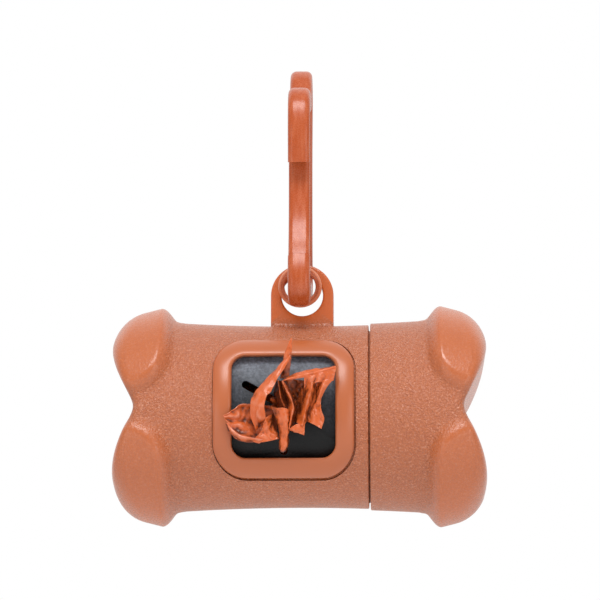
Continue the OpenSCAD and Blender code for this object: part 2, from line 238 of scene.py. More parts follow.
@dataclass(frozen=True)
class MouldedPlastic:
    """Solid-coloured moulded plastic, grained where the mesh's polish is low, with painted glints in its grain,
    and pale where its edge is high.
    """

    name: str
    base: Colour
    deep: Colour
    polished: Colour
    # rim is the pale tone of the painted glints, of the flow lines and of pale edges
    rim: Colour
    roughness: float
    grain: float
    grain_depth: float
    ior: float = 1.5
    flow: float = 0.0  # share of pale flow lines
    speck_reach: Pair = (0.38, 0.66)
    speck_share: float = 0.4
    glint_cell: float = 0.9  # of the grain's size
    glint_reach: Pair = (0.56, 0.7)
    glint_share: float = 0.32
    streak: float = 0.8
    streak_scale: Triple = (1.0, 1.0, 0.12)  # long along Z
    streak_reach: Pair = (0.4, 0.7)
    edge_share: float = 0.75
    pebble_height: float = 0.5
    dust_height: float = 0.6
    dust_cell: float = 0.6  # of the grain's size
    fade_reach: Pair = (0.0, 0.3)  # polish over which the grain fades
    worn_share: float = 0.85
    grain_rough: float = 0.08
    speck_rough: float = 0.05
    ripple: float = 9.0  # slow unevenness of the moulded skin
    ripple_depth: float = 0.03

    def material(self) -> bpy.types.Material:
        """Makes the finish.

        Returns:
            Its material.
        """
        tree = FinishTree(self.name)
        smooth, edge = tree.attribute("polish"), tree.attribute("edge")
        grained = 1 - smooth
        speck = tree.ramp(tree.noise(self.grain, 2), self.speck_reach)
        # painted glints: pale flecks of the rim tone in the grain, standing in for sparkle
        glint = tree.ramp(tree.noise(self.grain * self.glint_cell, 1), self.glint_reach)
        streak = tree.ramp(tree.noise(self.streak, 2, tree.stretched(self.streak_scale)), self.streak_reach)
        colour = self.base
        # edge makes the seam paler and paints a highlight on the ring's rim
        for share, tone in ((grained * speck * self.speck_share, self.deep),
                            (grained * glint * self.glint_share, self.rim), (smooth, self.polished),
                            (streak * self.flow, self.rim), (edge * self.edge_share, self.rim)):
            colour = tree.mix(share, colour, tone)
        grain = (tree.pebbles(self.grain) * self.pebble_height
                 + tree.noise(self.grain * self.dust_cell, 3) * self.dust_height)
        relief = grain * (1 - tree.ramp(smooth, self.fade_reach) * self.worn_share)
        ripple = tree.bump(tree.noise(self.ripple, 1), self.ripple_depth)
        return tree.finish(Base_Color=colour, IOR=self.ior,
                           Roughness=grained * self.grain_rough + self.roughness + speck * self.speck_rough,
                           Normal=tree.bump(relief, self.grain_depth, ripple))


@dataclass(frozen=True)
class OutletPlastic:
    """Black plastic with a fine matt grain, and a mottled painted sheen where the mesh's upward attribute is high:
    a pale painted reflection of the light above.
    """

    name: str
    base: Colour
    painted_sheen: Colour
    ior: float = 1.36
    roughness: float = 0.36
    grain_rough: float = 0.12
    grain: float = 0.3
    grain_depth: float = 0.1
    speck: float = 0.6
    speck_reach: Pair = (0.3, 0.75)
    speck_share: float = 0.5
    painted_sheen_share: float = 0.75

    def material(self) -> bpy.types.Material:
        """Makes the finish.

        Returns:
            Its material.
        """
        tree = FinishTree(self.name)
        grain = tree.noise(self.grain, 3)
        speck = tree.ramp(tree.noise(self.speck, 4), self.speck_reach)
        # painted sheen: a pale, mottled painted reflection mixed into the colour of the plate's upper part
        sheen_mask = tree.attribute("upward") * (speck * self.speck_share + (1 - self.speck_share))
        return tree.finish(Base_Color=tree.mix(sheen_mask * self.painted_sheen_share, self.base, self.painted_sheen), IOR=self.ior,
                           Roughness=grain * self.grain_rough + self.roughness,
                           Normal=tree.bump(grain, self.grain_depth))


@dataclass(frozen=True)
class BagFilm:
    """Thin crinkled film with painted shade in its folds and hollows and painted highlights on its creases."""

    name: str
    base: Colour
    # deep is the colour of the painted shade, pale that of the painted crease highlights
    deep: Colour
    pale: Colour
    ior: float = 1.5
    roughness: float = 0.24
    fine_rough: float = 0.1
    painted_shade_share: float = 0.95
    crease_share: float = 0.28
    fine: float = 0.5
    fine_scale: Triple = (1.0, 1.0, 0.4)
    fine_depth: float = 0.08
    soft: float = 1.6
    soft_depth: float = 0.16

    def material(self) -> bpy.types.Material:
        """Makes the finish.

        Returns:
            Its material.
        """
        tree = FinishTree(self.name)
        colour = tree.mix(tree.attribute("fold") * self.painted_shade_share, self.base, self.deep)
        colour = tree.mix(tree.attribute("crease") * self.crease_share, colour, self.pale)
        fine = tree.noise(self.fine, 4, tree.stretched(self.fine_scale))
        soft = tree.bump(tree.noise(self.soft, 3), self.soft_depth)
        return tree.finish(Base_Color=colour, Roughness=fine * self.fine_rough + self.roughness, IOR=self.ior,
                           Normal=tree.bump(fine, self.fine_depth, soft))


@dataclass(frozen=True)
class CoreBoard:
    """Grey-brown wound card with short fibres along the winding."""

    name: str
    base: Colour
    fibre: Colour
    roughness: float = 0.9
    cell: float = 0.6
    scale: Triple = (0.3, 1.0, 1.0)
    reach: Pair = (0.35, 0.7)
    depth: float = 0.05

    def material(self) -> bpy.types.Material:
        """Makes the finish.

        Returns:
            Its material.
        """
        tree = FinishTree(self.name)
        fibres = tree.noise(self.cell, 4, tree.stretched(self.scale))
        return tree.finish(Base_Color=tree.mix(tree.ramp(fibres, self.reach), self.base, self.fibre),
                           Roughness=self.roughness, Normal=tree.bump(fibres, self.depth))


FINISHES = {
    Slot.SHELL: MouldedPlastic("terracotta_shell", srgb(184, 101, 57), deep=srgb(150, 70, 38),
                               polished=srgb(202, 100, 46), rim=srgb(228, 164, 136), roughness=0.2, grain=0.45,
                               grain_depth=0.34, ior=1.62),
    Slot.BEZEL: MouldedPlastic("terracotta_bezel", srgb(184, 97, 52), deep=srgb(176, 84, 43),
                               polished=srgb(184, 97, 52), rim=srgb(226, 150, 118), roughness=0.3, grain=0.3,
                               grain_depth=0.012, ior=1.6),
    Slot.HOOK: MouldedPlastic("terracotta_hook", srgb(178, 78, 31), deep=srgb(160, 58, 22),
                              polished=srgb(178, 78, 31), rim=srgb(234, 150, 112), roughness=0.25, grain=0.3,
                              grain_depth=0.008, flow=0.14),
    Slot.OUTLET: OutletPlastic("black_outlet", srgb(8, 8, 9), painted_sheen=srgb(138, 144, 156)),
    Slot.FILM: BagFilm("bag_film", srgb(208, 96, 42), deep=srgb(46, 11, 5), pale=srgb(240, 178, 152)),
    Slot.BOARD: CoreBoard("core_board", srgb(168, 142, 110), fibre=srgb(196, 172, 140)),
}


# ---------------------------------------------------------------- mesh tools


def points_at(*coordinates: Coordinate) -> np.ndarray:
    """Points from their coordinates, any of which may be one number for all."""
    return np.stack(np.broadcast_arrays(*coordinates), axis=-1)


def circle(count: int, start_deg: float = 0.0) -> np.ndarray:
    """Angles spread evenly round a circle, in radians."""
    return np.radians(np.arange(count) * 360 / count + start_deg)


def box_of(node: str) -> tuple[np.ndarray, np.ndarray]:
    """Lowest and highest corner of a CAD node in the part's frame."""
    low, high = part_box(node)
    return np.array(low) / MM, np.array(high) / MM


def barrel_origin() -> np.ndarray:
    """Finds the middle of the barrel's axis, from the pieces that are centred on it.

    Returns:
        Its place in the part's frame.
    """
    core_low, core_high = box_of("roll_core")
    plate_low, plate_high = box_of("outlet_plate")
    return np.array([(core_low[0] + core_high[0]) / 2, 0.0, (plate_low[2] + plate_high[2]) / 2])


BARREL = barrel_origin()


def mesh_object(name: str, points: np.ndarray, faces: Sequence[Sequence[int]] = (),
                edges: Sequence[Sequence[int]] = ()) -> bpy.types.Object:
    """Makes a mesh object and links it to the scene.

    Args:
        name: Name of the object.
        points: One row of x, y and z in the part's frame for each point.
        faces: Point numbers of each face.
        edges: Point numbers of each loose edge.

    Returns:
        The object, whose mesh is in metres.
    """
    mesh = bpy.data.meshes.new(name)
    mesh.from_pydata((points.reshape(-1, 3) * MM).tolist(), edges, faces)
    thing = bpy.data.objects.new(name, mesh)
    bpy.context.scene.collection.objects.link(thing)
    return thing


def tidy_mesh(thing: bpy.types.Object) -> None:
    """Merges points that coincide and turns the faces of a closed mesh outwards.

    Args:
        thing: The object whose mesh is changed.
    """
    edit = bmesh.new()
    edit.from_mesh(thing.data)
    bmesh.ops.remove_doubles(edit, verts=edit.verts, dist=MERGE_M)
    bmesh.ops.recalc_face_normals(edit, faces=edit.faces)
    edit.to_mesh(thing.data)
    edit.free()


def loft_faces(rows: int, columns: int, round_rows: bool = False,
               round_columns: bool = False) -> list[list[int]]:
    """Quads of a grid of points.

    Args:
        rows: How many rows of points.
        columns: How many points in a row.
        round_rows: Whether the last row joins the first.
        round_columns: Whether each row is a ring.

    Returns:
        The point numbers of each quad.
    """
    last_row = rows if round_rows else rows - 1
    last_column = columns if round_columns else columns - 1
    return [[i * columns + j, i * columns + (j + 1) % columns,
             ((i + 1) % rows) * columns + (j + 1) % columns, ((i + 1) % rows) * columns + j]
            for i in range(last_row) for j in range(last_column)]


def tube_object(name: str, rings: np.ndarray, origin: np.ndarray = BARREL,
                hollow: bool = False) -> bpy.types.Object:
    """Makes a closed skin through rings of points.

    Args:
        name: Name of the object.
        rings: Rings with the same number of points.
        origin: Where their origin lies in the part's frame.
        hollow: Whether the last ring joins the first. Otherwise both get a flat end.

    Returns:
        The object, with its faces outwards.
    """
    rows, columns = rings.shape[:2]
    faces = loft_faces(rows, columns, round_rows=hollow, round_columns=True)
    if not hollow:
        faces += [list(range(columns)), list(range((rows - 1) * columns, rows * columns))]
    thing = mesh_object(name, rings + origin, faces)
    tidy_mesh(thing)
    return thing


def cylinder_rings(profile: Sequence[Pair], count: int) -> np.ndarray:
    """Rings about the X axis, one for each place along it and radius."""
    angle = circle(count)
    return np.stack([points_at(x, r * np.cos(angle), r * np.sin(angle)) for x, r in profile])


def corner_arcs(half_w: float, half_h: float, radius: float, steps: int) -> list[np.ndarray]:
    """Corners of a rounded rectangle, anticlockwise from the upper right one.

    Args:
        half_w: How far their centres lie to the sides.
        half_h: How far their centres lie above and below.
        radius: Their radius.
        steps: Steps in each.

    Returns:
        Rows of x and z for each corner.
    """
    turn = np.radians(np.arange(steps + 1) * 90 / steps)
    return [points_at(side * half_w + radius * np.cos(turn + quarter * math.pi / 2),
                      rise * half_h + radius * np.sin(turn + quarter * math.pi / 2))
            for quarter, (side, rise) in enumerate(((1, 1), (-1, 1), (-1, -1), (1, -1)))]


def settle(thing: bpy.types.Object) -> None:
    """Turns an object with modifiers into a plain mesh.

    Args:
        thing: The object.
    """
    graph = bpy.context.evaluated_depsgraph_get()
    mesh = bpy.data.meshes.new_from_object(thing.evaluated_get(graph), depsgraph=graph)
    thing.modifiers.clear()
    thing.data = mesh


def combine(thing: bpy.types.Object, tool: bpy.types.Object, operation: str = "DIFFERENCE") -> None:
    """Cuts another solid out of an object, or adds it.

    Args:
        thing: The object that is changed.
        tool: The other solid, which is deleted.
        operation: What the Boolean modifier does.
    """
    step = thing.modifiers.new("combine", "BOOLEAN")
    step.operation = operation
    step.solver = "MANIFOLD"
    step.object = tool
    settle(thing)
    bpy.data.objects.remove(tool)


def bevel(thing: bpy.types.Object, width: float, segments: int, sharper_deg: float) -> None:
    """Rounds the sharp edges of an object.

    Args:
        thing: The object.
        width: Width of the rounding.
        segments: Its steps.
        sharper_deg: Only edges sharper than this are rounded.
    """
    step = thing.modifiers.new("rounding", "BEVEL")
    step.width, step.segments = width * MM, segments
    step.limit_method, step.angle_limit = "ANGLE", math.radians(sharper_deg)
    settle(thing)


def points_of(thing: bpy.types.Object, origin: np.ndarray = BARREL) -> np.ndarray:
    """Reads the points of a mesh.

    Args:
        thing: The object.
        origin: A place in the part's frame that they are given from.

    Returns:
        One row for each point.
    """
    flat = np.empty(len(thing.data.vertices) * 3, np.float32)
    thing.data.vertices.foreach_get("co", flat)
    return flat.reshape(-1, 3).astype(float) / MM - origin


@dataclass
class Assembly:
    """A group of pieces that are finished and handed over in one way, with the material of each slot."""

    finishes: dict[Slot, bpy.types.Material]

    @staticmethod
    def store(thing: bpy.types.Object, **attributes: Coordinate) -> None:
        """Stores numbers on a mesh, for its material to read.

        Args:
            thing: The object.
            **attributes: Numbers from 0 to 1, one for each point or one for all.
        """
        for name, values in attributes.items():
            spread = np.broadcast_to(values, len(thing.data.vertices))
            layer = thing.data.attributes.new(name, "FLOAT", "POINT")
            layer.data.foreach_set("value", np.clip(spread, 0, 1).astype(np.float32))

    def hand_over(self, thing: bpy.types.Object, body: Body, slot: Slot, node: str, crease_deg: float = 32.0,
                  **attributes: Coordinate) -> None:
        """Finishes a piece with its slot's material, puts it on its body and hides the CAD node that it stands in
        for.

        Args:
            thing: The piece, as a plain mesh.
            body: The body that it rides on.
            slot: The slot that it takes its finish from.
            node: The CAD node that it replaces.
            crease_deg: Edges sharper than this stay sharp.
            **attributes: What its material reads at each point.
        """
        self.store(thing, **attributes)
        thing.data.materials.clear()
        thing.data.materials.append(self.finishes[slot])
        thing.data.shade_smooth()
        thing.data.set_sharp_from_angle(angle=math.radians(crease_deg))
        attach(thing, body.value)
        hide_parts(node)
        LOG.info("%s: %d faces on %s", thing.name, len(thing.data.polygons), body.value)


# ---------------------------------------------------------------- the bone-shaped housing


@dataclass(frozen=True)
class BoneForm:
    """Form shared by the barrel and its cap, in the barrel's frame."""

    end_x: float = 40.9
    barrel_r: float = 20.0
    flare: float = 0.85  # how much wider the barrel gets towards its ends
    flare_reach: float = 27.0  # distance from the middle over which it does
    cavity_r: float = 17.4
    end_wall: float = 2.0
    knob_l: float = 13.5
    cap_knob_l: float = 13.0
    rim_lead: float = 1.2  # start of the knobs' rings before their foot
    knob_proud: float = 3.2
    knob_gap: float = 2.7  # height over the axis at which a knob starts
    knob_corner: float = 9.0
    knob_rim: float = 3.1  # distance over which a knob rises
    knob_fall: float = 0.25  # slope of its top towards the end
    foot_round: float = 0.55  # softness of the line where it leaves the barrel
    valley_depth: float = 5.2
    valley_span: float = 14.0
    valley_soft: float = 1.5  # rounding of the valley's bottom
    tip_round: float = 9.0
    valley_round: float = 1.8  # rounding of the end's edge in the valley
    seam_x: float = 15.1
    seam_gap: float = 0.35
    cap_step: float = 0.3  # how far the cap stands over the barrel
    neck_l: float = 8.0
    neck_wall: float = 1.5
    cap_fit: float = 0.05
    mouth_fit: float = 0.1  # room between the barrel's mouth and the cap's step
    lip: float = 0.28
    chamfer: float = 0.4
    edge_break: float = 0.2
    bore_step: float = 4.0
    bore_places: tuple[float, ...] = (-20, -8, 4)  # rings along the bore
    floor_shares: tuple[float, ...] = (0.05, 0.4, 0.75, 0.97)  # rings of the end wall, as shares of the bore
    lip_turns: tuple[float, ...] = (0, 30, 60, 90)
    polish_share: float = 0.3
    face_blend: float = 3.0  # distance inside the skin over which the end face gets its polish
    face_lead: float = 1.0  # start of that polish before the bottom of the valley
    fade_reach: float = 0.6  # the pale edge fades over this distance from the seam
    pale_edge_from: float = 0.5  # taken off it everywhere, so that it ends sooner
    around: int = 320
    barrel_steps: int = 40
    cap_steps: int = 20
    along_steps: int = 44
    edge_steps: int = 14
    face_rings: int = 18

    def waist(self, x: np.ndarray) -> np.ndarray:
        """Radius of the barrel's own gentle flare."""
        return self.barrel_r + self.flare * (np.minimum(np.abs(x), self.flare_reach) / self.flare_reach) ** 2

    @staticmethod
    def rise(share: np.ndarray) -> np.ndarray:
        """Step from 0 to 1 with a rounded top."""
        return np.sin(np.pi / 2 * np.clip(share, 0, 1))

    def knob_lift(self, x: np.ndarray, angle: np.ndarray, foot: float) -> np.ndarray:
        """How far a knob stands at each place.

        Args:
            x: Places along the barrel, towards the knobs' end.
            angle: Their angles round it.
            foot: Where the knobs start.

        Returns:
            Shares of the knob's full height.
        """
        along = x - foot
        up = np.abs(self.waist(x) * np.sin(angle)) - self.knob_gap
        corner = self.knob_corner
        inside = np.where((along < corner) & (up < corner),
                          corner - np.hypot(corner - along, corner - up), np.minimum(along, up))
        soft = (inside + np.sqrt(inside ** 2 + self.foot_round ** 2)) / 2
        return self.rise(soft / self.knob_rim)

    def skin_radius(self, x: np.ndarray, angle: np.ndarray, foot: float) -> np.ndarray:
        """Radius of the skin, knobs included."""
        height = self.knob_proud - self.knob_fall * np.maximum(0, x - foot - self.knob_rim)
        return self.waist(x) + height * self.knob_lift(x, angle, foot)

    def face_x(self, z: np.ndarray) -> np.ndarray:
        """Place of the end face, with the valley between its knobs."""
        height = np.hypot(z, self.valley_soft) - self.valley_soft
        return self.end_x - self.valley_depth * (1 - self.rise(height / self.valley_span))

    def end_rings(self, start: float, foot: float) -> list[tuple[np.ndarray, np.ndarray]]:
        """Lays rings over the knobs and their tips to the middle of the end face.

        Args:
            start: Where the first ring lies.
            foot: Where the knobs start.

        Returns:
            The place along the barrel and the radius of each point of each ring.
        """
        angle = circle(self.around)
        rounding = self.valley_round + (self.tip_round - self.valley_round) * np.sin(angle) ** 2
        near = np.full_like(angle, self.end_x - self.tip_round)
        first = np.arctan(self.knob_fall * self.knob_lift(near, angle, foot))
        tip = self.skin_radius(near, angle, foot) * np.sin(angle)
        corner_x = self.face_x(tip) - rounding * (1 - np.sin(first))
        corner_r = self.skin_radius(corner_x, angle, foot)
        rings = []
        for share in np.arange(self.along_steps) / self.along_steps:
            x = start + (corner_x - start) * share
            rings.append((x, self.skin_radius(x, angle, foot)))
        for share in np.arange(self.edge_steps + 1) / self.edge_steps:
            turn = first + (math.pi / 2 - first) * share
            r = corner_r - rounding * (np.cos(first) - np.cos(turn))
            rings.append((self.face_x(r * np.sin(angle)) - rounding * (1 - np.sin(turn)), r))
        for share in 1 - np.arange(1, self.face_rings) / self.face_rings:
            r = (corner_r - rounding * np.cos(first)) * share
            rings.append((self.face_x(r * np.sin(angle)), r))
        return rings

    def skin(self, seam: float, foot: float, waist_steps: int) -> np.ndarray:
        """Outer skin from the seam to the middle of the end face.

        Args:
            seam: Where the skin starts, with a rounded lip.
            foot: Where the knobs start.
            waist_steps: Rings along the plain waist.

        Returns:
            The rings.
        """
        turns, end = np.radians(self.lip_turns), foot - self.rim_lead
        lip = [(seam + self.lip * (1 - math.cos(t)), -self.lip * (1 - math.sin(t))) for t in turns]
        plain = [(seam + self.lip + (end - seam - self.lip) * i / waist_steps, 0.0) for i in range(1, waist_steps)]
        waist = [(x, self.waist(np.array(x)) + fall) for x, fall in lip + plain]
        return cylinder_rings(waist + self.end_rings(end, foot), self.around)

    def inside(self, side: int, *rest: Pair) -> np.ndarray:
        """Lays rings along the inside.

        Args:
            side: The side of the end wall, where they start in its middle: -1 or 1.
            *rest: Places and radii that they go on through.

        Returns:
            The rings.
        """
        floor = self.end_x - self.valley_depth - self.end_wall
        wall = [(side * floor, self.cavity_r * share) for share in self.floor_shares]
        return cylinder_rings([*wall, (side * (floor - self.chamfer), self.cavity_r), *rest], self.around)

    def polish(self, points: np.ndarray, foot: float) -> np.ndarray:
        """Tells where the skin is polished: the knobs and end faces are smoother than the waist.

        Args:
            points: Points in the barrel's frame.
            foot: Where the knobs start.

        Returns:
            The share of polish at each point.
        """
        angle = np.arctan2(points[:, 2], points[:, 1])
        x, r = np.abs(points[:, 0]), np.hypot(points[:, 1], points[:, 2])
        inner = np.clip((self.barrel_r - r) / self.face_blend, 0, 1)
        face = np.clip(x - self.end_x + self.valley_depth + self.face_lead, 0, 1) * inner
        return np.maximum(self.knob_lift(x, angle, foot), face) * self.polish_share


@dataclass(frozen=True)
class TabForm:
    """Hanging tab on top of the barrel."""

    width: float = 13.9
    thick: float = 2.6
    x: float = 0.4
    eye_r: float = 4.6
    eye_z: float = 27.05
    edge: float = 0.45  # rounding of its edges
    root_z: float = 18.4  # where it ends inside the barrel
    margin: float = 1.0  # tells its points from the barrel's
    turn_deg: float = 1.4  # about half a step
    around: int = 128
    edge_steps: int = 4

    def rings(self) -> np.ndarray:
        """Lays rings round the eye, over its edge, the front, the outer edge and the back.

        Returns:
            The rings, of which the last joins the first.
        """
        angle = circle(self.around, self.turn_deg)
        half, drop = self.width / 2, self.eye_z - self.root_z
        down = np.minimum(half / np.maximum(np.abs(np.cos(angle)), TINY),
                          drop / np.maximum(-np.sin(angle), TINY))
        outer = np.where(np.sin(angle) >= 0, half, down)
        turns = np.radians(np.linspace(0, 90, self.edge_steps + 1))
        cuts = list(zip(self.edge * (1 - np.cos(turns)), self.edge * (1 - np.sin(turns))))
        front = [(self.eye_r + first, self.thick / 2 - second) for first, second in cuts]
        front += [(outer - second, self.thick / 2 - first) for first, second in cuts]
        sides = [(r, -y) for r, y in front] + front[::-1]
        return np.stack([points_at(self.x + r * np.cos(angle), y, self.eye_z + r * np.sin(angle))
                         for r, y in sides])


@dataclass(frozen=True)
class WindowForm:
    """Window in the front of the barrel with its bezel and outlet plate, in the barrel's frame."""

    x: float = -3.2
    clear_w: float = 22.4
    clear_h: float = 22.2
    corner: float = 3.0
    band: float = 4.0  # width of the bezel over its opening
    proud: float = 1.5  # height of the bezel over the barrel
    skirt: float = 1.2  # thickness of the bezel's skirt, which goes down into the wall
    seat_fit: float = 0.05
    curve_fit: float = 0.12
    plate: float = 1.0
    plate_edge: float = 0.12
    bezel_polish: float = 0.85
    ledge: float = 0.8  # thickness of the ledge under the plate
    ledge_w: float = 1.0
    slot_w: float = 1.7
    slot_l: float = 10.3
    slot_arms: tuple[float, ...] = (30, 150, 270)
    slot_steps: int = 16
    gap: float = 0.28  # half the width of the shadow gap
    gap_depth: float = 0.5
    gap_proud: float = 2.0  # how far its cutter stands out of the barrel
    lip: float = 0.9  # width over which its underside rises to the outer edge
    lift: float = 0.4  # how far it rises there
    dome_fall: float = 1.05
    dome_power: float = 0.62
    dome_skew: float = 1.45  # above 1 the bulge lies nearer to the opening
    dome_steps: int = 18
    inner_edge: float = 0.4
    skirt_edge: float = 0.15
    arm_from: float = 10.0  # the slot's cutter, from the axis outwards
    arm_to: float = 24.0
    cut_from: float = 8.0  # the window's cutter
    cut_to: float = 26.0
    floor_shares: tuple[float, ...] = (1.0, 0.8, 0.6, 0.4, 0.2, 0.02)  # rings over the seat's floor
    plate_shares: tuple[float, ...] = (0.02, 0.15, 0.3, 0.45, 0.6, 0.75, 0.9, 1.0)  # rings over the plate
    sheen_from: float = 1.0  # height over the axis at which the painted sheen starts
    sheen_reach: float = 8.0
    corner_steps: int = 20
    side_steps: int = 28
    hole_steps: int = 12  # in each corner of the opening
    bezel_crease_deg: float = 50
    plate_crease_deg: float = 40
    plate_sharp_deg: float = 50  # edges of the plate that are sharper get their rounding
    plate_edge_steps: int = 2

    def ring(self, grow: float, corner: float, depth: Coordinate, share: float = 1.0) -> np.ndarray:
        """Rounded rectangle round the middle of the window.

        Args:
            grow: How much wider and higher than the clear opening it is.
            corner: Radius of its corners.
            depth: Its distance from the barrel's axis, towards the viewer.
            share: Share of this size that it has.

        Returns:
            Its points.
        """
        width, height, corner = (self.clear_w + grow) * share, (self.clear_h + grow) * share, corner * share
        flat = np.concatenate(corner_arcs(width / 2 - corner, height / 2 - corner, corner, self.hole_steps))
        return points_at(flat[:, 0] + self.x, -depth, flat[:, 1])

    def curved(self, fit: float, radius: float, shares: Sequence[float]) -> list[np.ndarray]:
        """Outlines of the plate, wider by a fit, that shrink over a curve of the given radius."""
        rings = [self.ring(2 * (self.skirt + fit), self.corner + self.skirt + fit, 0.0, share) for share in shares]
        return [self.bent(ring, radius) for ring in rings]

    @staticmethod
    def bent(points: np.ndarray, radius: Coordinate) -> np.ndarray:
        """Points moved towards the viewer onto a curve about the barrel's axis."""
        return points_at(points[:, 0], -np.sqrt(radius ** 2 - points[:, -1] ** 2), points[:, -1])

    def rebate(self, floor_r: float) -> bpy.types.Object:
        """Makes the block that cuts the bezel's seat.

        Args:
            floor_r: Radius of the seat's curved floor.

        Returns:
            The block.
        """
        grow, corner = 2 * (self.skirt + self.seat_fit), self.corner + self.skirt + self.seat_fit
        top = self.ring(grow, corner, self.cut_to)
        return tube_object("rebate", np.stack([top, *self.curved(self.seat_fit, floor_r, self.floor_shares)]))

    def hole(self) -> bpy.types.Object:
        """Block that cuts the window right through, inside the ledge."""
        ends = [self.ring(-2 * self.ledge_w, self.corner, depth) for depth in (self.cut_from, self.cut_to)]
        return tube_object("hole", np.stack(ends))

    def groove(self, skin_r: float) -> bpy.types.Object:
        """Makes the ring that cuts a fine shadow gap round the bezel, wider at the lower right.

        Args:
            skin_r: Radius of the barrel that it is cut into.

        Returns:
            The ring.
        """
        rings = []
        low, high = skin_r - self.gap_depth, skin_r + self.gap_proud
        for inset, radius in ((-self.gap, low), (-self.gap, high), (self.gap, high), (self.gap, low)):
            rings.append(self.bent(self.outline(inset) + np.array([self.gap, -self.gap]) / 2, radius))
        return tube_object("groove", np.stack(rings), hollow=True)

    def outline(self, inset: float) -> np.ndarray:
        """Goes round the bezel.

        Args:
            inset: Distance inside its outer edge.

        Returns:
            Rows of x and z.
        """
        arcs = corner_arcs(self.clear_w / 2 - self.corner, self.clear_h / 2 - self.corner,
                           self.corner + self.band - inset, self.corner_steps)
        sides = [np.linspace(arc[-1], following[0], self.side_steps + 1)[1:-1]
                 for arc, following in zip(arcs, arcs[1:] + arcs[:1])]
        return np.concatenate([part for pair in zip(arcs, sides) for part in pair]) + np.array([self.x, 0.0])


@dataclass
class Housing(Assembly):
    """Barrel with its tab, and the cap that closes it."""

    form: BoneForm = BoneForm()
    tab: TabForm = TabForm()
    window: WindowForm = WindowForm()

    def barrel(self) -> None:
        """Barrel with neck, knobs at its closed end, window and tab."""
        form, window = self.form, self.window
        cut, small, bore = form.chamfer, form.edge_break, form.cavity_r
        mouth, neck_r = form.seam_x + form.neck_l - form.mouth_fit, form.cavity_r + form.neck_wall
        foot = form.end_x - form.knob_l
        inside = form.inside(-1, *((x, bore) for x in form.bore_places), (mouth - cut, bore), (mouth, bore + cut),
                             (mouth, neck_r - cut), (mouth - cut, neck_r), (form.seam_x + small, neck_r),
                             (form.seam_x, neck_r + small))
        skin = form.skin(-form.seam_x, foot, form.barrel_steps)
        skin[:, :, 0] *= -1
        thing = tube_object("barrel_shell_skin", np.concatenate([inside, skin]))
        combine(thing, window.rebate(form.cavity_r + window.ledge))
        combine(thing, window.hole())
        combine(thing, window.groove(form.barrel_r))
        combine(thing, tube_object("tab", self.tab.rings(), hollow=True), "UNION")
        self.finish(thing, foot, Body.DISPENSER, "barrel_shell")

    def cap(self) -> None:
        """Cap that pushes over the barrel's neck."""
        form = self.form
        start, step = form.seam_x + form.seam_gap, form.seam_x + form.neck_l
        bore = form.cavity_r + form.neck_wall + form.cap_fit
        foot = form.end_x - form.cap_knob_l
        inside = form.inside(1, (step + form.bore_step, form.cavity_r), (step, form.cavity_r), (step, bore),
                             (start + form.bore_step, bore), (start + form.edge_break, bore),
                             (start, bore + form.edge_break))
        skin = form.skin(start, foot, form.cap_steps)
        radius = np.hypot(skin[:, :, 1], skin[:, :, 2])
        larger = np.where(radius > form.cavity_r, (radius + form.cap_step) / np.maximum(radius, TINY), 1.0)
        skin[:, :, 1:] *= larger[:, :, None]
        self.finish(tube_object("end_cap_skin", np.concatenate([inside, skin])), foot, Body.CAP, "end_cap")

    def finish(self, thing: bpy.types.Object, foot: float, body: Body, node: str) -> None:
        """Hands over a piece that is polished on its knobs and tab and paler along the seam.

        Args:
            thing: The piece.
            foot: Where its knobs start.
            body: The body that it rides on.
            node: The CAD node that it replaces.
        """
        points = points_of(thing)
        seam = np.abs(points[:, 0] - self.form.seam_x - self.form.seam_gap / 2)
        tab = ((points[:, 2] > self.form.barrel_r + self.tab.margin)
               & (np.abs(points[:, 0] - self.tab.x) < self.tab.width / 2 + self.tab.margin))
        self.hand_over(thing, body, Slot.SHELL, node, polish=np.where(tab, 1.0, self.form.polish(points, foot)),
                       edge=1 - seam / self.form.fade_reach - self.form.pale_edge_from)


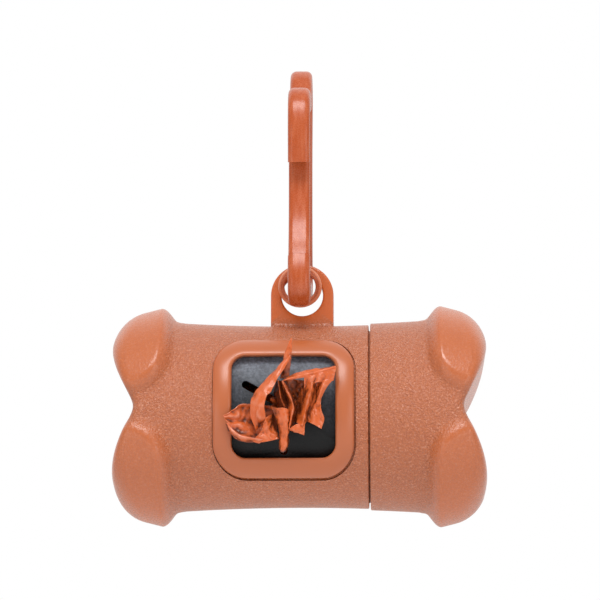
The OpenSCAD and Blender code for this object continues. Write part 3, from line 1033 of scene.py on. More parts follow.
@dataclass
class Window(Assembly):
    """Bezel round the window and the black plate behind it."""

    form: BoneForm = Housing.form
    sizes: WindowForm = Housing.window
    plate_in: float = form.cavity_r + sizes.ledge
    plate_out: float = plate_in + sizes.plate

    def bezel(self) -> None:
        """Rounded frame that follows the barrel's curve, with a skirt inside the opening."""
        sizes, form = self.sizes, self.form
        top, inner, seat = form.barrel_r + sizes.proud, sizes.band, self.plate_out + sizes.curve_fit
        section: list[tuple[float, float | None]] = [(sizes.lip, None), (0.0, None)]
        for share in np.arange(sizes.dome_steps + 1) / sizes.dome_steps:
            across = sizes.band / 2 * (1 - math.cos(math.pi * share))
            bulge = math.sin(math.pi * share ** sizes.dome_skew) ** sizes.dome_power
            section.append((across, top - sizes.dome_fall * (1 - bulge)))
        section += [(inner, top - sizes.dome_fall - sizes.inner_edge), (inner, seat + sizes.skirt_edge),
                    (inner - sizes.skirt_edge, seat), (inner - sizes.skirt, seat), (inner - sizes.skirt, None)]
        rings = []
        for inset, radius in section:
            flat = sizes.outline(inset)
            under = form.waist(flat[:, 0]) + sizes.curve_fit + (sizes.lift if inset == 0.0 else 0.0)
            rings.append(sizes.bent(flat, under if radius is None else radius))
        thing = tube_object("window_bezel_frame", np.stack(rings), hollow=True)
        self.hand_over(thing, Body.DISPENSER, Slot.BEZEL, "window_bezel", sizes.bezel_crease_deg,
                       polish=sizes.bezel_polish)

    def plate(self) -> None:
        """Curved black plate with its three-armed slot."""
        sizes = self.sizes
        rings = sizes.curved(0.0, self.plate_out, sizes.plate_shares)
        rings += sizes.curved(0.0, self.plate_in, sizes.plate_shares[::-1])
        thing = tube_object("outlet_plate_star", np.stack(rings))
        for angle in sizes.slot_arms:
            combine(thing, self.slot_arm(math.radians(angle)))
        bevel(thing, sizes.plate_edge, sizes.plate_edge_steps, sizes.plate_sharp_deg)
        # the painted sheen grows towards the top of the plate
        upward = (points_of(thing)[:, 2] - sizes.sheen_from) / sizes.sheen_reach
        self.hand_over(thing, Body.DISPENSER, Slot.OUTLET, "outlet_plate", sizes.plate_crease_deg,
                       upward=upward)

    def slot_arm(self, angle: float) -> bpy.types.Object:
        """Makes the cutter of one arm of the slot, rounded at both ends.

        Args:
            angle: Where the arm points, in radians.

        Returns:
            The cutter.
        """
        sizes, half = self.sizes, self.sizes.slot_w / 2
        ends = np.radians(np.linspace(-90, 90, sizes.slot_steps + 1))
        x = np.concatenate([sizes.slot_l - half + half * np.cos(ends), -half * np.cos(ends)])
        z = np.concatenate([half * np.sin(ends), -half * np.sin(ends)])
        turned = (x * math.cos(angle) - z * math.sin(angle) + sizes.x, x * math.sin(angle) + z * math.cos(angle))
        return tube_object("arm", np.stack([points_at(turned[0], -depth, turned[1])
                                            for depth in (sizes.arm_from, sizes.arm_to)]))


# ---------------------------------------------------------------- hook and ring


def smooth_line(points: np.ndarray, per_span: int) -> np.ndarray:
    """Draws a Catmull-Rom curve through points.

    Args:
        points: The points.
        per_span: Steps between two of them.

    Returns:
        Points of the curve.
    """
    rows = []
    last = len(points) - 1
    for i in range(last):
        p, q, r, s = (points[max(0, i - 1)], points[i], points[i + 1], points[min(last, i + 2)])
        for t in np.arange(per_span) / per_span:
            rows.append(0.5 * (2 * q + (r - p) * t + (2 * p - 5 * q + 4 * r - s) * t * t
                               + (3 * q - p - 3 * r + s) * t ** 3))
    return np.array([*rows, points[last]])


class SweptBar:
    """Geometry Nodes tree that sweeps a rounded bar along a path of edges."""

    kinds: dict[str, str] = {"Width": "NodeSocketFloat", "Depth": "NodeSocketFloat",
                             "Rounding": "NodeSocketFloat", "Finish": "NodeSocketMaterial"}
    corner_steps: int = 5

    def __init__(self) -> None:
        """Builds the tree with named inputs for the bar's width, depth, rounding and finish."""
        self.group = bpy.data.node_groups.new("swept_bar", "GeometryNodeTree")
        face = self.group.interface
        for side in ("INPUT", "OUTPUT"):
            face.new_socket("Geometry", in_out=side, socket_type="NodeSocketGeometry")
        self.inputs = {name: face.new_socket(name, in_out="INPUT", socket_type=kind).identifier
                       for name, kind in self.kinds.items()}
        tree = NodeBuilder(self.group)
        given = {name: tree.add("NodeGroupInput", output=name) for name in ("Geometry", *self.kinds)}
        path = tree.add("GeometryNodeMeshToCurve", None, {"Mesh": given["Geometry"]})
        turned = tree.add("GeometryNodeSetCurveNormal", {"mode": "FREE"},
                          {"Curve": path, "Normal": (1.0, 0.0, 0.0)})
        outline = tree.add("GeometryNodeCurvePrimitiveQuadrilateral", {"mode": "RECTANGLE"},
                           {"Width": given["Width"], "Height": given["Depth"]})
        rounded = tree.add("GeometryNodeFilletCurve", {"mode": "POLY"},
                           {"Curve": outline, "Radius": given["Rounding"], "Count": self.corner_steps})
        swept = tree.add("GeometryNodeCurveToMesh", None,
                         {"Curve": turned, "Profile Curve": rounded, "Fill Caps": True})
        real = tree.add("GeometryNodeRealizeInstances", None, {"Geometry": swept})
        painted = tree.add("GeometryNodeSetMaterial", None, {"Geometry": real, "Material": given["Finish"]})
        tree.add("NodeGroupOutput", None, {"Geometry": painted})

    def sweep(self, name: str, path: np.ndarray, sizes: Triple, finish: bpy.types.Material) -> bpy.types.Object:
        """Sweeps one bar.

        Args:
            name: Name of the piece.
            path: Points of the bar's middle line in the part's frame.
            sizes: Its width along X, its depth across and the radius of its edges.
            finish: Its material.

        Returns:
            The bar as a plain mesh.
        """
        thing = mesh_object(name, path, edges=[(i, i + 1) for i in range(len(path) - 1)])
        step = thing.modifiers.new("bar", "NODES")
        step.node_group = self.group
        for key, value in zip(self.kinds, (*(size * MM for size in sizes), finish)):
            step[self.inputs[key]] = value
        settle(thing)
        tidy_mesh(thing)
        return thing


@dataclass(frozen=True)
class HookForm:
    """Snap hook, as distances from the eye's plane and heights above the bar that hangs in the eye."""

    bar_z: float = 29.45  # height of the lower bar's middle over the barrel's axis
    frame_sizes: Triple = (4.9, 3.4, 1.35)  # width, depth and rounding
    gate_sizes: Triple = (4.7, 2.5, 1.05)
    end_rounding: float = 0.8
    end_steps: int = 5
    end_angle_deg: float = 60
    polish: float = 0.9
    crease_deg: float = 40
    per_span: int = 10  # steps between two points
    # y and height, from the gate's free end to its root
    gate_points: tuple[Pair, ...] = ((-9.1, 29.5), (-8.9, 25), (-8.9, 19), (-9.6, 13), (-11.1, 8.2))
    # on from there along the lower bar, up the back and over the crown to the nose
    frame_points: tuple[Pair, ...] = (
        (-12.8, 4.2), (-13.7, 0.2), (-13, -3.2), (-10.8, -4.6), (-8.9, -3.2), (-7.2, -1.3), (-4.2, -0.3),
        (0, 0), (4.2, -0.3), (7.2, -0.8), (9.6, -0.9), (11.8, -0.2), (13.2, 2.2), (12.6, 5.2),
        (10.4, 9), (9.4, 17), (9.6, 28), (11, 35), (13, 41.2), (12.7, 46.4), (9.4, 49), (5.8, 47.2), (2.9, 43.2),
        (0, 40.6), (-4.6, 40.6), (-9, 41.2), (-12.5, 38.8), (-13.7, 34.6), (-13.4, 30), (-12.6, 25.4))
    ring_r: float = 4.12
    wire_r: float = 0.7
    ring_tilt_deg: float = 27.0
    ring_gap: float = 0.35  # between the tab and the ring
    ring_drop: float = 0.95  # how far its middle lies under the bar's
    ring_steps: int = 96
    wire_steps: int = 24
    highlight_rise: float = 2.0  # how fast the ring's painted highlight grows towards its rim
    highlight_from: float = 0.2


@dataclass
class SnapHook(Assembly):
    """Plastic hook with its springy gate, and the ring that holds it in the tab."""

    form: HookForm = HookForm()

    def bars(self) -> None:
        """Rigid bone-shaped part of the hook, and its gate, a bar of its own that starts at the frame's end; the
        real gate bends inwards.
        """
        form, bar = self.form, SweptBar()
        flat = smooth_line(np.array(form.gate_points + form.frame_points), form.per_span)
        line = points_at(0.0, flat[:, 0], flat[:, 1] + form.bar_z) + BARREL
        root = len(form.gate_points) * form.per_span
        for name, path, sizes, body in (("hook_frame", line[root:], form.frame_sizes, Body.HOOK),
                                        ("hook_gate", line[:root + 1], form.gate_sizes, Body.GATE)):
            thing = bar.sweep(f"{name}_bar", path, sizes, self.finishes[Slot.HOOK])
            bevel(thing, form.end_rounding, form.end_steps, form.end_angle_deg)
            self.hand_over(thing, body, Slot.HOOK, name, form.crease_deg, polish=form.polish)

    def ring(self) -> None:
        """Small ring round the bar, in front of the tab."""
        form, tilt = self.form, math.radians(self.form.ring_tilt_deg)
        reach = Housing.tab.thick / 2 + form.ring_gap + form.wire_r + form.ring_r * math.sin(tilt)
        middle = np.array([0.0, -reach, form.bar_z - form.ring_drop])
        wire = circle(form.wire_steps)
        r, off = form.ring_r + form.wire_r * np.cos(wire), form.wire_r * np.sin(wire)
        rings = []
        for turn in circle(form.ring_steps):
            x, up = r * math.cos(turn), r * math.sin(turn)
            rings.append(points_at(x, off * math.cos(tilt) - up * math.sin(tilt),
                                   up * math.cos(tilt) + off * math.sin(tilt)) + middle)
        thing = tube_object("retaining_ring_wire", np.stack(rings), hollow=True)
        flat = points_of(thing) - middle
        # painted highlight: the ring gets paler towards the edges of its wire
        rim = np.abs(np.hypot(flat[:, 0], flat[:, 2] / math.cos(tilt)) - form.ring_r) / form.wire_r
        self.hand_over(thing, Body.RING, Slot.HOOK, "retaining_ring", form.crease_deg, polish=form.polish,
                       edge=rim * form.highlight_rise - form.highlight_from)


# ---------------------------------------------------------------- bags


@dataclass(frozen=True)
class FilmFlap:
    """One flap of crumpled film, as rows of points (x, z, out) from the middle of the slot."""

    name: str
    rows: tuple[tuple[Triple, ...], ...]
    fold: float  # 0 runs smoothly through the points of a row, 1 folds sharply at each
    crumple: float  # height of its creases
    pleats: float = 0.0  # how many lie side by side
    shadow: float = 0.0  # painted shade added to it; below 0 it is lighter


@dataclass(frozen=True)
class RollForm:
    """Roll of bags, its core and the strand of film that runs to the slot."""

    core_r: float = 6.0
    core_wall: float = 1.1
    core_proud: float = 0.6
    core_fit: float = 0.02  # gap between the core and the first layer
    layers: int = 12
    layer_step: float = 0.25  # how far every other layer stands back
    rim: float = 0.2
    rim_round: float = 0.5
    plain_from: float = 3.0
    plain_rings: int = 20
    around: int = 160
    core_around: int = 96
    strand_r: float = 0.7  # of the film that runs to the slot
    strand_share: float = 0.86  # middle of its pleats, as a share of that radius
    pleat_share: float = 0.12
    pleats: int = 9
    twist: float = 1.4
    pleat_twist: float = 4.0  # how far the pleats' wave moves on for each radian of twist
    strand_around: int = 72
    strand_rings: int = 24


@dataclass(frozen=True)
class TuftForm:
    """How the film of the tuft is crumpled, and where it gets painted shade and painted highlights."""

    thick: float = 0.14
    steps: int = 48
    seed_shift: Triple = (7.3, 3.1, 0.0)  # between the creases of two flaps
    crease_bands: tuple[Pair, ...] = ((2.8, 1.0), (1.3, 0.6), (0.6, 0.3))  # size and share of each
    crease_level: float = 0.25
    pleat_slant: float = 0.3
    pleat_start: float = 3.0
    reach: int = 4  # points to the neighbours that a place is compared with
    relief_gain: float = 2.0
    height_gain: float = 0.6
    flank_from: float = 0.72  # faces that point less forwards than this get painted shade
    flank_shade: float = 1.8
    cell: float = 0.6  # size of the cells in which film in front is looked for
    free: float = 0.7  # film nearer than this casts no painted shadow
    span: float = 1.7
    deep_from: float = 3.0  # film nearer to the slot than this gets painted shade
    deep_span: float = 1.4
    crease_from: float = 0.1
    crease_gain: float = 2.5
    fold_shade_from: float = 0.2
    fold_shade_gain: float = 1.2
    darkest: float = 0.9
    gather_shadow: float = 0.5
    gather_rings: tuple[int, int] = (14, 145)
    gather_r: float = 0.5
    gather_flare: float = 2.0
    gather_power: float = 1.4
    gather_pleats: int = 9
    gather_twist: float = 2.0
    gather_ripple: float = 0.22
    gather_out: Triple = (0.2, 2.6, 0.2)  # start, length and wave of the cone
    gather_relief: float = 0.4
    crease_deg: float = 50


@dataclass
class Bags(Assembly):
    """Roll of bags on its core, and the end of a bag that is pulled through the slot."""

    form: RollForm = RollForm()
    film: TuftForm = TuftForm()

    def roll(self) -> None:
        """Wound film with its layers showing at the ends, and the card tube inside it."""
        form = self.form
        low, high = box_of("bag_roll")
        middle = np.array([(low[0] + high[0]) / 2, 0.0, (low[2] + high[2]) / 2])
        half, radius = (high[0] - low[0]) / 2, (high[2] - low[2]) / 2
        radii = np.linspace(form.core_r + form.core_fit, radius - form.rim, form.layers * 2 + 1)
        end = [(half - (form.layer_step if i % 2 else 0.0), r) for i, r in enumerate(radii)]
        plain = np.linspace(-half + form.plain_from, half - form.plain_from, form.plain_rings)
        rolled = [(-x, r) for x, r in end] + [(-half + form.rim_round, radius)] + [(x, radius) for x in plain]
        rolled += [(half - form.rim_round, radius)] + end[::-1]
        thing = tube_object("bag_roll_film", cylinder_rings(rolled, form.around), middle, hollow=True)
        self.hand_over(thing, Body.ROLL, Slot.FILM, "bag_roll", crease=0.0)
        half, inner = half + form.core_proud, form.core_r - form.core_wall
        tube = cylinder_rings([(-half, inner), (-half, form.core_r), (half, form.core_r), (half, inner)],
                              form.core_around)
        thing = tube_object("roll_core_tube", tube, middle, hollow=True)
        self.hand_over(thing, Body.ROLL, Slot.BOARD, "roll_core")

    def creases(self, points: np.ndarray, seed: int) -> np.ndarray:
        """Works out the sharp little ridges of crumpled film.

        Args:
            points: A grid of points.
            seed: Which creases it gets.

        Returns:
            A height about 0 at each point.
        """
        film = self.film
        heights = np.empty(points.shape[:2])
        shift = Vector([step * seed for step in film.seed_shift])
        for place in np.ndindex(*heights.shape):
            here = Vector(points[place]) + shift
            heights[place] = sum(share * (film.crease_level - abs(noise.noise(here / size)))
                                 for size, share in film.crease_bands)
        return heights

    def flap_grid(self, flap: FilmFlap, seed: int) -> tuple[np.ndarray, np.ndarray]:
        """Points of one flap, and how far each stands out of those around it.

        Args:
            flap: The flap.
            seed: Which creases it gets.

        Returns:
            A grid of x, z and out, and a grid of heights over the neighbourhood.
        """
        film, control = self.film, np.array(flap.rows, float)
        per_row, per_column = (max(2, film.steps // (count - 1)) for count in control.shape[:2])
        bent = []
        for row in control:
            places = np.linspace(0, len(row) - 1, (len(row) - 1) * per_column + 1)
            straight = np.stack([np.interp(places, np.arange(len(row)), row[:, k]) for k in range(3)], axis=1)
            bent.append(smooth_line(row, per_column) * (1 - flap.fold) + straight * flap.fold)
        grid = np.stack([smooth_line(column, per_row) for column in np.stack(bent, axis=1)], axis=1)
        normal = np.cross(np.gradient(grid, axis=0), np.gradient(grid, axis=1))
        normal /= np.maximum(np.linalg.norm(normal, axis=2, keepdims=True), TINY)
        normal *= np.where(normal[:, :, 2:] < 0, -1.0, 1.0)
        along, over = np.meshgrid(*(np.linspace(0, 1, n) for n in grid.shape[:2]), indexing="ij")
        height = self.creases(grid, seed)
        if flap.pleats:
            pleat = np.abs(np.mod(over * flap.pleats + along * film.pleat_slant, 1.0) * 2 - 1) - 0.5
            height += pleat * np.minimum(1, film.pleat_start * along)
        grid = grid + normal * (height * flap.crumple)[:, :, None]
        out, reach = grid[:, :, 2], film.reach
        padded = np.pad(out, reach, mode="edge")
        around = [padded[a:a + out.shape[0], b:b + out.shape[1]]
                  for a, b in ((0, reach), (2 * reach, reach), (reach, 0), (reach, 2 * reach))]
        # painted shade on flanks that turn away from the front
        flank = np.clip(film.flank_from - normal[:, :, 2], 0, 1) * film.flank_shade
        relief = out - sum(around) / len(around)
        return grid, relief * film.relief_gain + height * film.height_gain - flank

    def cover(self, flat: np.ndarray, out: np.ndarray) -> np.ndarray:
        """Share of painted shadow on points that lie below film close in front of them.

        Args:
            flat: Their places seen from the front.
            out: How far out of the slot they lie.

        Returns:
            The shares, 0 to 1.
        """
        place = np.round((flat - flat.min(axis=0)) / self.film.cell).astype(int) + 1
        front = np.full(place.max(axis=0) + 2, -1.0)  # with an empty cell all round
        np.maximum.at(front, (place[:, 0], place[:, 1]), out)
        near = [front[place[:, 0] + i, place[:, 1] + j] for i in (-1, 0, 1) for j in (-1, 0, 1)]
        return np.clip((np.max(near, axis=0) - out - self.film.free) / self.film.span, 0, 1)

    def gather_grid(self) -> tuple[np.ndarray, np.ndarray]:
        """Works out the pleated cone of film that comes out of the slot behind the flaps.

        Returns:
            A grid of x, z and out, and a grid of heights over the neighbourhood.
        """
        film, (rows, columns) = self.film, self.film.gather_rings
        turn, along = np.meshgrid(np.linspace(0, 2 * math.pi, columns), np.linspace(0, 1, rows))
        pleat = np.sin(turn * film.gather_pleats + along * film.gather_twist)
        flare = film.gather_flare * along ** film.gather_power
        radius = film.gather_r + flare * (1 + film.gather_ripple * pleat)
        start, length, wave = film.gather_out
        out = start + length * along + wave * pleat * along
        return points_at(radius * np.cos(turn), radius * np.sin(turn), out), pleat * film.gather_relief

    def tuft(self) -> None:
        """All the flaps that hang out of the slot, as one sheet of film with its wall."""
        film = self.film
        sheets = [(*self.flap_grid(flap, seed), flap.shadow) for seed, flap in enumerate(FLAPS)]
        sheets.append((*self.gather_grid(), film.gather_shadow))
        places, faces, start = [], [], 0
        for grid, height, shadow in sheets:
            values = points_at(*np.moveaxis(grid, 2, 0), height, shadow)
            places.append(values.reshape(height.size, -1))
            faces += [[start + i for i in face] for face in loft_faces(*height.shape)]
            start += height.size
        x, z, out, height, shadow = np.concatenate(places).T
        flat = points_at(x + Housing.window.x, z)
        thing = mesh_object("bag_tuft_film", points_at(flat[:, 0], -out - Window.plate_out, z) + BARREL, faces)
        # painted shade deep in the slot and under film in front, and painted highlights on the creases
        deep = np.maximum(np.clip((film.deep_from - out) / film.deep_span, 0, 1), self.cover(flat, out))
        deep = np.clip(deep + shadow, 0, 1)
        crease = (height - film.crease_from) * film.crease_gain * (1 - deep)
        fold = np.minimum((-height - film.fold_shade_from) * film.fold_shade_gain + deep, film.darkest)
        wall = thing.modifiers.new("wall", "SOLIDIFY")
        wall.thickness, wall.offset = film.thick * MM, 0.0
        self.store(thing, crease=crease, fold=fold)
        settle(thing)
        tidy_mesh(thing)
        self.hand_over(thing, Body.BAG_END, Slot.FILM, "bag_tuft", film.crease_deg)
        LOG.info("tuft of %s", ", ".join(flap.name for flap in FLAPS))

    def neck(self) -> None:
        """Film gathered into a pleated strand between the roll and the slot."""
        form, angle = self.form, circle(self.form.strand_around)
        low, high = box_of("bag_neck")
        middle = (low + high) / 2
        rings = []
        for share in np.linspace(0, 1, form.strand_rings):
            turn = angle + share * form.twist
            pleat = np.sin(angle * form.pleats + share * form.twist * form.pleat_twist)
            r = form.strand_r * (form.strand_share + form.pleat_share * pleat)
            rings.append(points_at(middle[0] + r * np.cos(turn), high[1] + (low[1] - high[1]) * share,
                                   middle[2] + r * np.sin(turn)))
        thing = tube_object("bag_neck_film", np.stack(rings), np.zeros(3))
        self.hand_over(thing, Body.BAG_END, Slot.FILM, "bag_neck", crease=0.0)


FLAPS = (
    FilmFlap("cup", (
        ((-0.6, -0.5, 0.6), (-0.6, -1.4, 0.8), (-0.6, -2.8, 0.9), (-1.1, -3.7, 1), (-1.4, -4.3, 1.4)),
        ((-4.5, 0, 1.2), (-4.5, -2.6, 1), (-4.5, -5.5, 1.6), (-4.5, -8.2, 4.2), (-3.9, -7.5, 4.8)),
        ((-7.4, 0.1, 2.2), (-6.9, -2.6, 1.4), (-6.1, -5.9, 1.6), (-6.5, -8.4, 4.6), (-6.1, -7.6, 5.1)),
        ((-9.2, -0.1, 3), (-9.1, -2.9, 2), (-8, -5.2, 2.3), (-9.1, -8.1, 4.8), (-8.8, -7.1, 5.4)),
        ((-10.9, -1.5, 3.6), (-10.8, -3.1, 2.9), (-10.2, -5.1, 3.2), (-11.3, -6.4, 4.6), (-10.5, -5.9, 5.2)),
        ((-12.8, -2.7, 4.2), (-12.5, -3, 3.8), (-11.7, -4.6, 3.9), (-12.1, -4.4, 4.3), (-11.8, -4.3, 4.6)),
    ), fold=0.2, crumple=0.45, pleats=4.0, shadow=-0.6),
    FilmFlap("front_low", (
        ((-3.7, -3.3, 5.6), (-2.8, -2.7, 4.8), (-1.7, -1.8, 3)),
        ((-3.9, -4.4, 5.6), (-2.6, -4.2, 4.6), (-1.5, -3.9, 2.6)),
        ((-4.6, -6.2, 5.3), (-3, -6, 4.6), (-1.2, -5.8, 3)),
        ((-5.7, -7.4, 5), (-3.7, -7.3, 4.9), (-0.9, -6.9, 3.6)),
        ((-6.5, -8.4, 4.8), (-4.1, -8.5, 5), (-0.7, -7.6, 4)),
    ), fold=0.2, crumple=0.5, shadow=0.2),
    FilmFlap("tall", (
        ((-5.7, -5.9, 3.6), (-5.2, -4.9, 3.2), (-4.2, -3.8, 4.6)),
        ((-6.8, -3, 3.6), (-5.4, -2.9, 4.4), (-3.7, -3.3, 5.6)),
        ((-6.9, -0.6, 3.8), (-5.4, -0.5, 4.8), (-3.9, -0.9, 5.6)),
        ((-6.5, 1.6, 3.6), (-4.9, 1.8, 4.7), (-3.4, 1.4, 5.2)),
        ((-4.5, 4.3, 3.2), (-3.4, 3.6, 4.4), (-2.5, 2.5, 4.8)),
        ((-1.9, 7.2, 2.8), (-1.5, 6.2, 3.8), (-1.2, 5.2, 4.2)),
        ((0.5, 9.8, 2.6), (0.1, 8.5, 3.2), (0.2, 7.5, 3.4)),
        ((1.5, 10.7, 2.6), (1.5, 10.5, 2.7), (1.6, 10, 2.7)),
    ), fold=0.0, crumple=0.3),
    FilmFlap("back_spike", (
        ((-0.7, 5.7, 1.5), (0.2, 5.7, 1.6), (1.3, 6.1, 1.5)),
        ((-0.2, 7.6, 1.8), (0.7, 7.8, 2), (1.5, 8.3, 1.8)),
        ((0.2, 10.6, 2.3), (1, 10.6, 2.5), (1.8, 10.2, 2.4)),
        ((1, 12.7, 2.6), (1.4, 12.8, 2.7), (1.9, 12.9, 2.6)),
        ((1.7, 14.3, 2.8), (1.8, 14.3, 2.8), (1.9, 14.3, 2.8)),
    ), fold=0.3, crumple=0.3),
    FilmFlap("finger", (
        ((-2.3, -0.9, 5.6), (-1.5, -1.4, 6.4), (-0.2, -1.3, 6.8), (1, -1.5, 6.4), (1.7, -1.9, 5)),
        ((-1.7, -2.8, 5.4), (-0.9, -3, 6.2), (0, -3, 6.7), (1, -3.2, 6.3), (1.6, -3.4, 5)),
        ((-0.9, -5.1, 4.8), (-0.3, -5.4, 5.6), (0.4, -5.6, 6), (1.1, -5.5, 5.6), (1.4, -5.5, 4.6)),
        ((-0.6, -7.2, 4.2), (-0.1, -7.5, 5), (0.5, -7.6, 5.3), (1, -7.5, 5), (1.3, -7.5, 4.2)),
        ((-0.7, -9.1, 3.8), (-0.3, -9.7, 4.5), (0.4, -10, 4.8), (0.9, -9.3, 4.5), (1.2, -8.5, 3.8)),
        ((-0.6, -10, 3.6), (-0.3, -10.4, 3.9), (0.1, -10.6, 4), (0.6, -10.2, 3.9), (0.8, -9.5, 3.6)),
    ), fold=0.1, crumple=0.4, shadow=0.28),
    FilmFlap("left_ridge", (
        ((-1.5, 5.3, 1.9), (-1, 4.9, 4.6), (-0.5, 4.8, 3)),
        ((-1.9, 3.6, 1.2), (-0.7, 2.8, 4.9), (0.5, 2.6, 2.6)),
        ((-1.9, 1.6, 1.0), (-0.4, 1, 5.2), (1.1, 0.4, 2.6)),
        ((-1.6, -0.5, 1.4), (0.5, -1.1, 5.9), (1.8, -1.4, 3)),
    ), fold=0.9, crumple=0.3, shadow=0.75),
    FilmFlap("middle_ridge", (
        ((-0.7, 5, 3), (-0.1, 4.7, 5), (0.5, 4.8, 3)),
        ((0, 2.9, 3.6), (0.7, 2.8, 5.6), (1.3, 3.4, 3.4)),
        ((0.7, 1.1, 4), (1.6, 1.2, 6.2), (2.2, 1.4, 3.6)),
        ((1.3, -1.2, 5), (2.3, -1, 6.6), (2.9, -1, 3.6)),
        ((1.3, -3.5, 5.4), (1.9, -3.4, 6.3), (2.6, -3.4, 3.6)),
        ((1.2, -5.4, 4.8), (1.4, -5.7, 5.4), (1.8, -5.8, 4)),
    ), fold=0.9, crumple=0.3),
    FilmFlap("right_top", (
        ((0.1, 5.2, 3.2), (2.4, 6.4, 3.4), (6.1, 7.4, 3.6), (8.7, 7.6, 3.6), (11.2, 8.1, 3.4)),
        ((0.1, 4.9, 4.2), (2.6, 5.7, 4.4), (5.7, 6.4, 4.6), (8.5, 7.1, 4.4), (11.3, 7.9, 4)),
        ((0.2, 4.8, 4), (2.6, 5.2, 4.3), (5.2, 5.6, 4.6), (8.1, 6.5, 4.4), (11.5, 7.6, 4)),
    ), fold=0.4, crumple=0.2),
    FilmFlap("right_hang", (
        ((4.6, 5.5, 4.5), (6.5, 6.0, 4.7), (8.5, 6.6, 4.6), (11.4, 7.6, 4.1)),
        ((4.6, 3.3, 4), (6.3, 4, 5), (7.9, 4.5, 4.6), (10.9, 4.9, 3.8)),
    ), fold=0.3, crumple=0.35, pleats=3.0),
    FilmFlap("right_fold", (
        ((4.7, 5, 3), (5.5, 4.6, 4.6), (6.4, 4.3, 5.6), (7, 4.2, 4.2), (7.9, 4.5, 3.6)),
        ((3.9, 2.9, 2.4), (4.8, 2.4, 4), (6, 2.1, 6), (6.7, 2.1, 4.4), (7.4, 2.1, 3.4)),
        ((3, 0.5, 2.2), (4.2, 0.2, 4), (5.3, -0.1, 6.2), (6.1, -0.1, 4.6), (6.9, -0.2, 3.8)),
        ((2.4, -1.9, 2.4), (3.5, -2.4, 4), (4.7, -2.9, 6), (5.2, -2.9, 4.6), (5.7, -3, 3.8)),
        ((2, -4, 3), (3.1, -4.3, 4.6), (4.2, -5.1, 5.8), (4.8, -4.4, 5), (5.1, -3.9, 4.2)),
    ), fold=0.8, crumple=0.35),
    FilmFlap("right_outer", (
        ((7.9, 4.7, 3.6), (9.2, 5, 4.4), (11, 5.2, 4.2)),
        ((7.4, 2.7, 3.4), (8.3, 3, 4.8), (9.5, 3.6, 4.2)),
        ((6.9, 0.5, 3.6), (7.4, 0.6, 4.8), (8.3, 0.9, 4.4)),
        ((5.9, -1.5, 4), (7.2, -0.9, 4.4), (8.2, -1.2, 5)),
        ((5.2, -3.1, 4.2), (7, -2.9, 4.6), (8.9, -3.5, 5.2)),
        ((5.1, -3.9, 4.2), (6.8, -4.8, 4.8), (8.3, -5.7, 5.2)),
    ), fold=0.6, crumple=0.4, shadow=0.1),
    FilmFlap("low_flap", (
        ((1.3, -5.8, 5), (2.9, -4.7, 5.6), (4.8, -4.3, 5.2)),
        ((1.6, -6, 5), (3.1, -5.7, 5.6), (4.7, -5.6, 5.2)),
        ((1.9, -6.1, 4.8), (3.2, -6.5, 5.2), (4.6, -7, 4.8)),
    ), fold=0.5, crumple=0.4),
    FilmFlap("hollow", (
        ((-0.6, 5, 1.6), (2, 5.5, 1.4), (4.7, 5.1, 2.4)),
        ((-0.2, 2.4, 1.4), (2, 2.5, 1), (3.9, 2.8, 1.8)),
        ((0.7, -0.7, 1.6), (2, -1.1, 1.4), (2.9, -1.2, 1.8)),
        ((1.3, -3.9, 2.4), (1.8, -3.9, 2.4), (2.2, -3.9, 2.6)),
    ), fold=0.3, crumple=0.5, shadow=0.6),
)


# ---------------------------------------------------------------- studio


@dataclass(frozen=True)
class SoftLight:
    """A rectangular light, in metres, watts and degrees round the object."""

    name: str
    azimuth: float
    elevation: float
    size: Pair
    power: float
    distance: float = 0.9


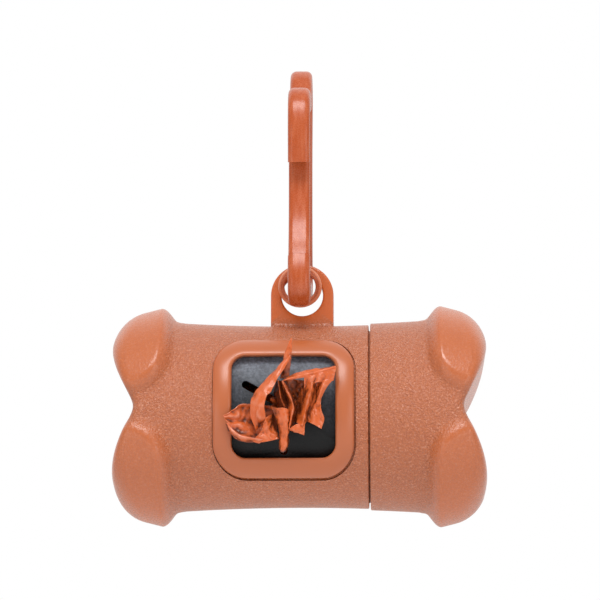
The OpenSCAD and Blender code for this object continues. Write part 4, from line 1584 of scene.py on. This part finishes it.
@dataclass
class Studio:
    """White room, soft lights and the camera, in metres."""

    floor_z: float = -0.3
    floor_half: float = 6.0
    floor_cell_mm: float = 400.0
    floor_roughness: float = 0.9
    floor_tones: tuple[Colour, Colour] = (srgb(240, 240, 240), srgb(236, 236, 236))
    front: float = 0.45  # strength of the surroundings level with the object
    fill: float = 0.66  # and of those above and below it
    fill_reach: Pair = (0.1, 0.8)
    backdrop: float = 0.5  # added behind it
    backdrop_reach: Pair = (-0.1, 0.7)
    target: Triple = (-0.00022, 0.0, -0.04214)
    azimuth: float = 1.5  # degrees to the right of the front
    elevation: float = -9.3  # degrees over the object, so this looks up at it
    distance: float = 0.8
    lens: float = 216.3
    sensor: float = 36.0
    clip: Pair = (0.01, 20.0)
    lights: tuple[SoftLight, ...] = (
        SoftLight("key", 0.0, 48.0, (0.6, 0.34), 5.3),
        SoftLight("left", -46.0, -4.0, (0.4, 0.5), 0.7),
        SoftLight("right", 46.0, -4.0, (0.4, 0.5), 1.0))

    def set_up(self, data: bpy.types.ID, azimuth: float, elevation: float, distance: float) -> bpy.types.Object:
        """Adds a camera or a light that looks at the object.

        Args:
            data: The camera or the light.
            azimuth: Degrees that it stands to the right of the front.
            elevation: Degrees that it stands above the object.
            distance: Its distance from the object.

        Returns:
            Its object in the scene.
        """
        thing = bpy.data.objects.new(data.name, data)
        bpy.context.scene.collection.objects.link(thing)
        side, up = math.radians(azimuth), math.radians(elevation)
        back = Vector((math.sin(side) * math.cos(up), -math.cos(side) * math.cos(up), math.sin(up)))
        thing.location = Vector(self.target) + back * distance
        thing.rotation_mode = "QUATERNION"
        thing.rotation_quaternion = (-back).to_track_quat("-Z", "Y")
        return thing

    def camera(self) -> None:
        """Long lens at the photograph's angle."""
        data = bpy.data.cameras.new("camera")
        data.sensor_width, data.lens = self.sensor, self.lens
        data.clip_start, data.clip_end = self.clip
        bpy.context.scene.camera = self.set_up(data, self.azimuth, self.elevation, self.distance)

    def floor(self) -> None:
        """Plain pale floor well below the hanging object."""
        tree = FinishTree("studio_floor")
        tone = tree.mix(tree.noise(self.floor_cell_mm, 1), *self.floor_tones)
        x, y = self.floor_half * np.array([[-1, 1, 1, -1], [-1, -1, 1, 1]])
        corners = points_at(x, y, self.floor_z)
        thing = mesh_object("studio_floor", corners / MM, [[0, 1, 2, 3]])
        thing.data.materials.append(tree.finish(Base_Color=tone, Roughness=self.floor_roughness))

    def world(self) -> None:
        """White surroundings that light the object softly, mostly from above, below and behind."""
        world = bpy.data.worlds.new("studio_world")
        world.use_nodes = True
        tree, white = NodeBuilder(world.node_tree), (1.0, 1.0, 1.0, 1.0)
        place = tree.add("ShaderNodeTexCoord", output="Generated")
        depth, rise = (tree.add("ShaderNodeSeparateXYZ", None, {0: place}, axis) for axis in "YZ")
        strength = (tree.ramp(abs(rise), self.fill_reach, (self.front, self.fill))
                    + tree.ramp(depth, self.backdrop_reach, (0.0, self.backdrop)))
        glow = tree.add("ShaderNodeBackground", None, {"Color": white, "Strength": strength})
        plain = tree.add("ShaderNodeBackground", None, {"Color": white})
        seen = tree.add("ShaderNodeLightPath", output="Is Camera Ray")
        both = tree.add("ShaderNodeMixShader", None, {0: seen, 1: glow, 2: plain})
        tree.add("ShaderNodeOutputWorld", None, {"Surface": both})
        bpy.context.scene.world = world
        bpy.context.scene.view_settings.view_transform = "Standard"

    def build(self) -> None:
        """Sets everything up."""
        self.camera()
        self.floor()
        self.world()
        for light in self.lights:
            data = bpy.data.lights.new(light.name, "AREA")
            data.shape, data.energy = "RECTANGLE", light.power
            data.size, data.size_y = light.size
            self.set_up(data, light.azimuth, light.elevation, light.distance)


def main() -> None:
    """Builds the object and the studio."""
    logging.basicConfig(level=logging.INFO, format="%(name)s: %(message)s")
    Studio().build()
    finishes = {slot: finish.material() for slot, finish in FINISHES.items()}
    housing = Housing(finishes)
    housing.barrel()
    housing.cap()
    window = Window(finishes)
    window.bezel()
    window.plate()
    hook = SnapHook(finishes)
    hook.bars()
    hook.ring()
    bags = Bags(finishes)
    bags.roll()
    bags.neck()
    bags.tuft()


if __name__ == "__main__":
    main()
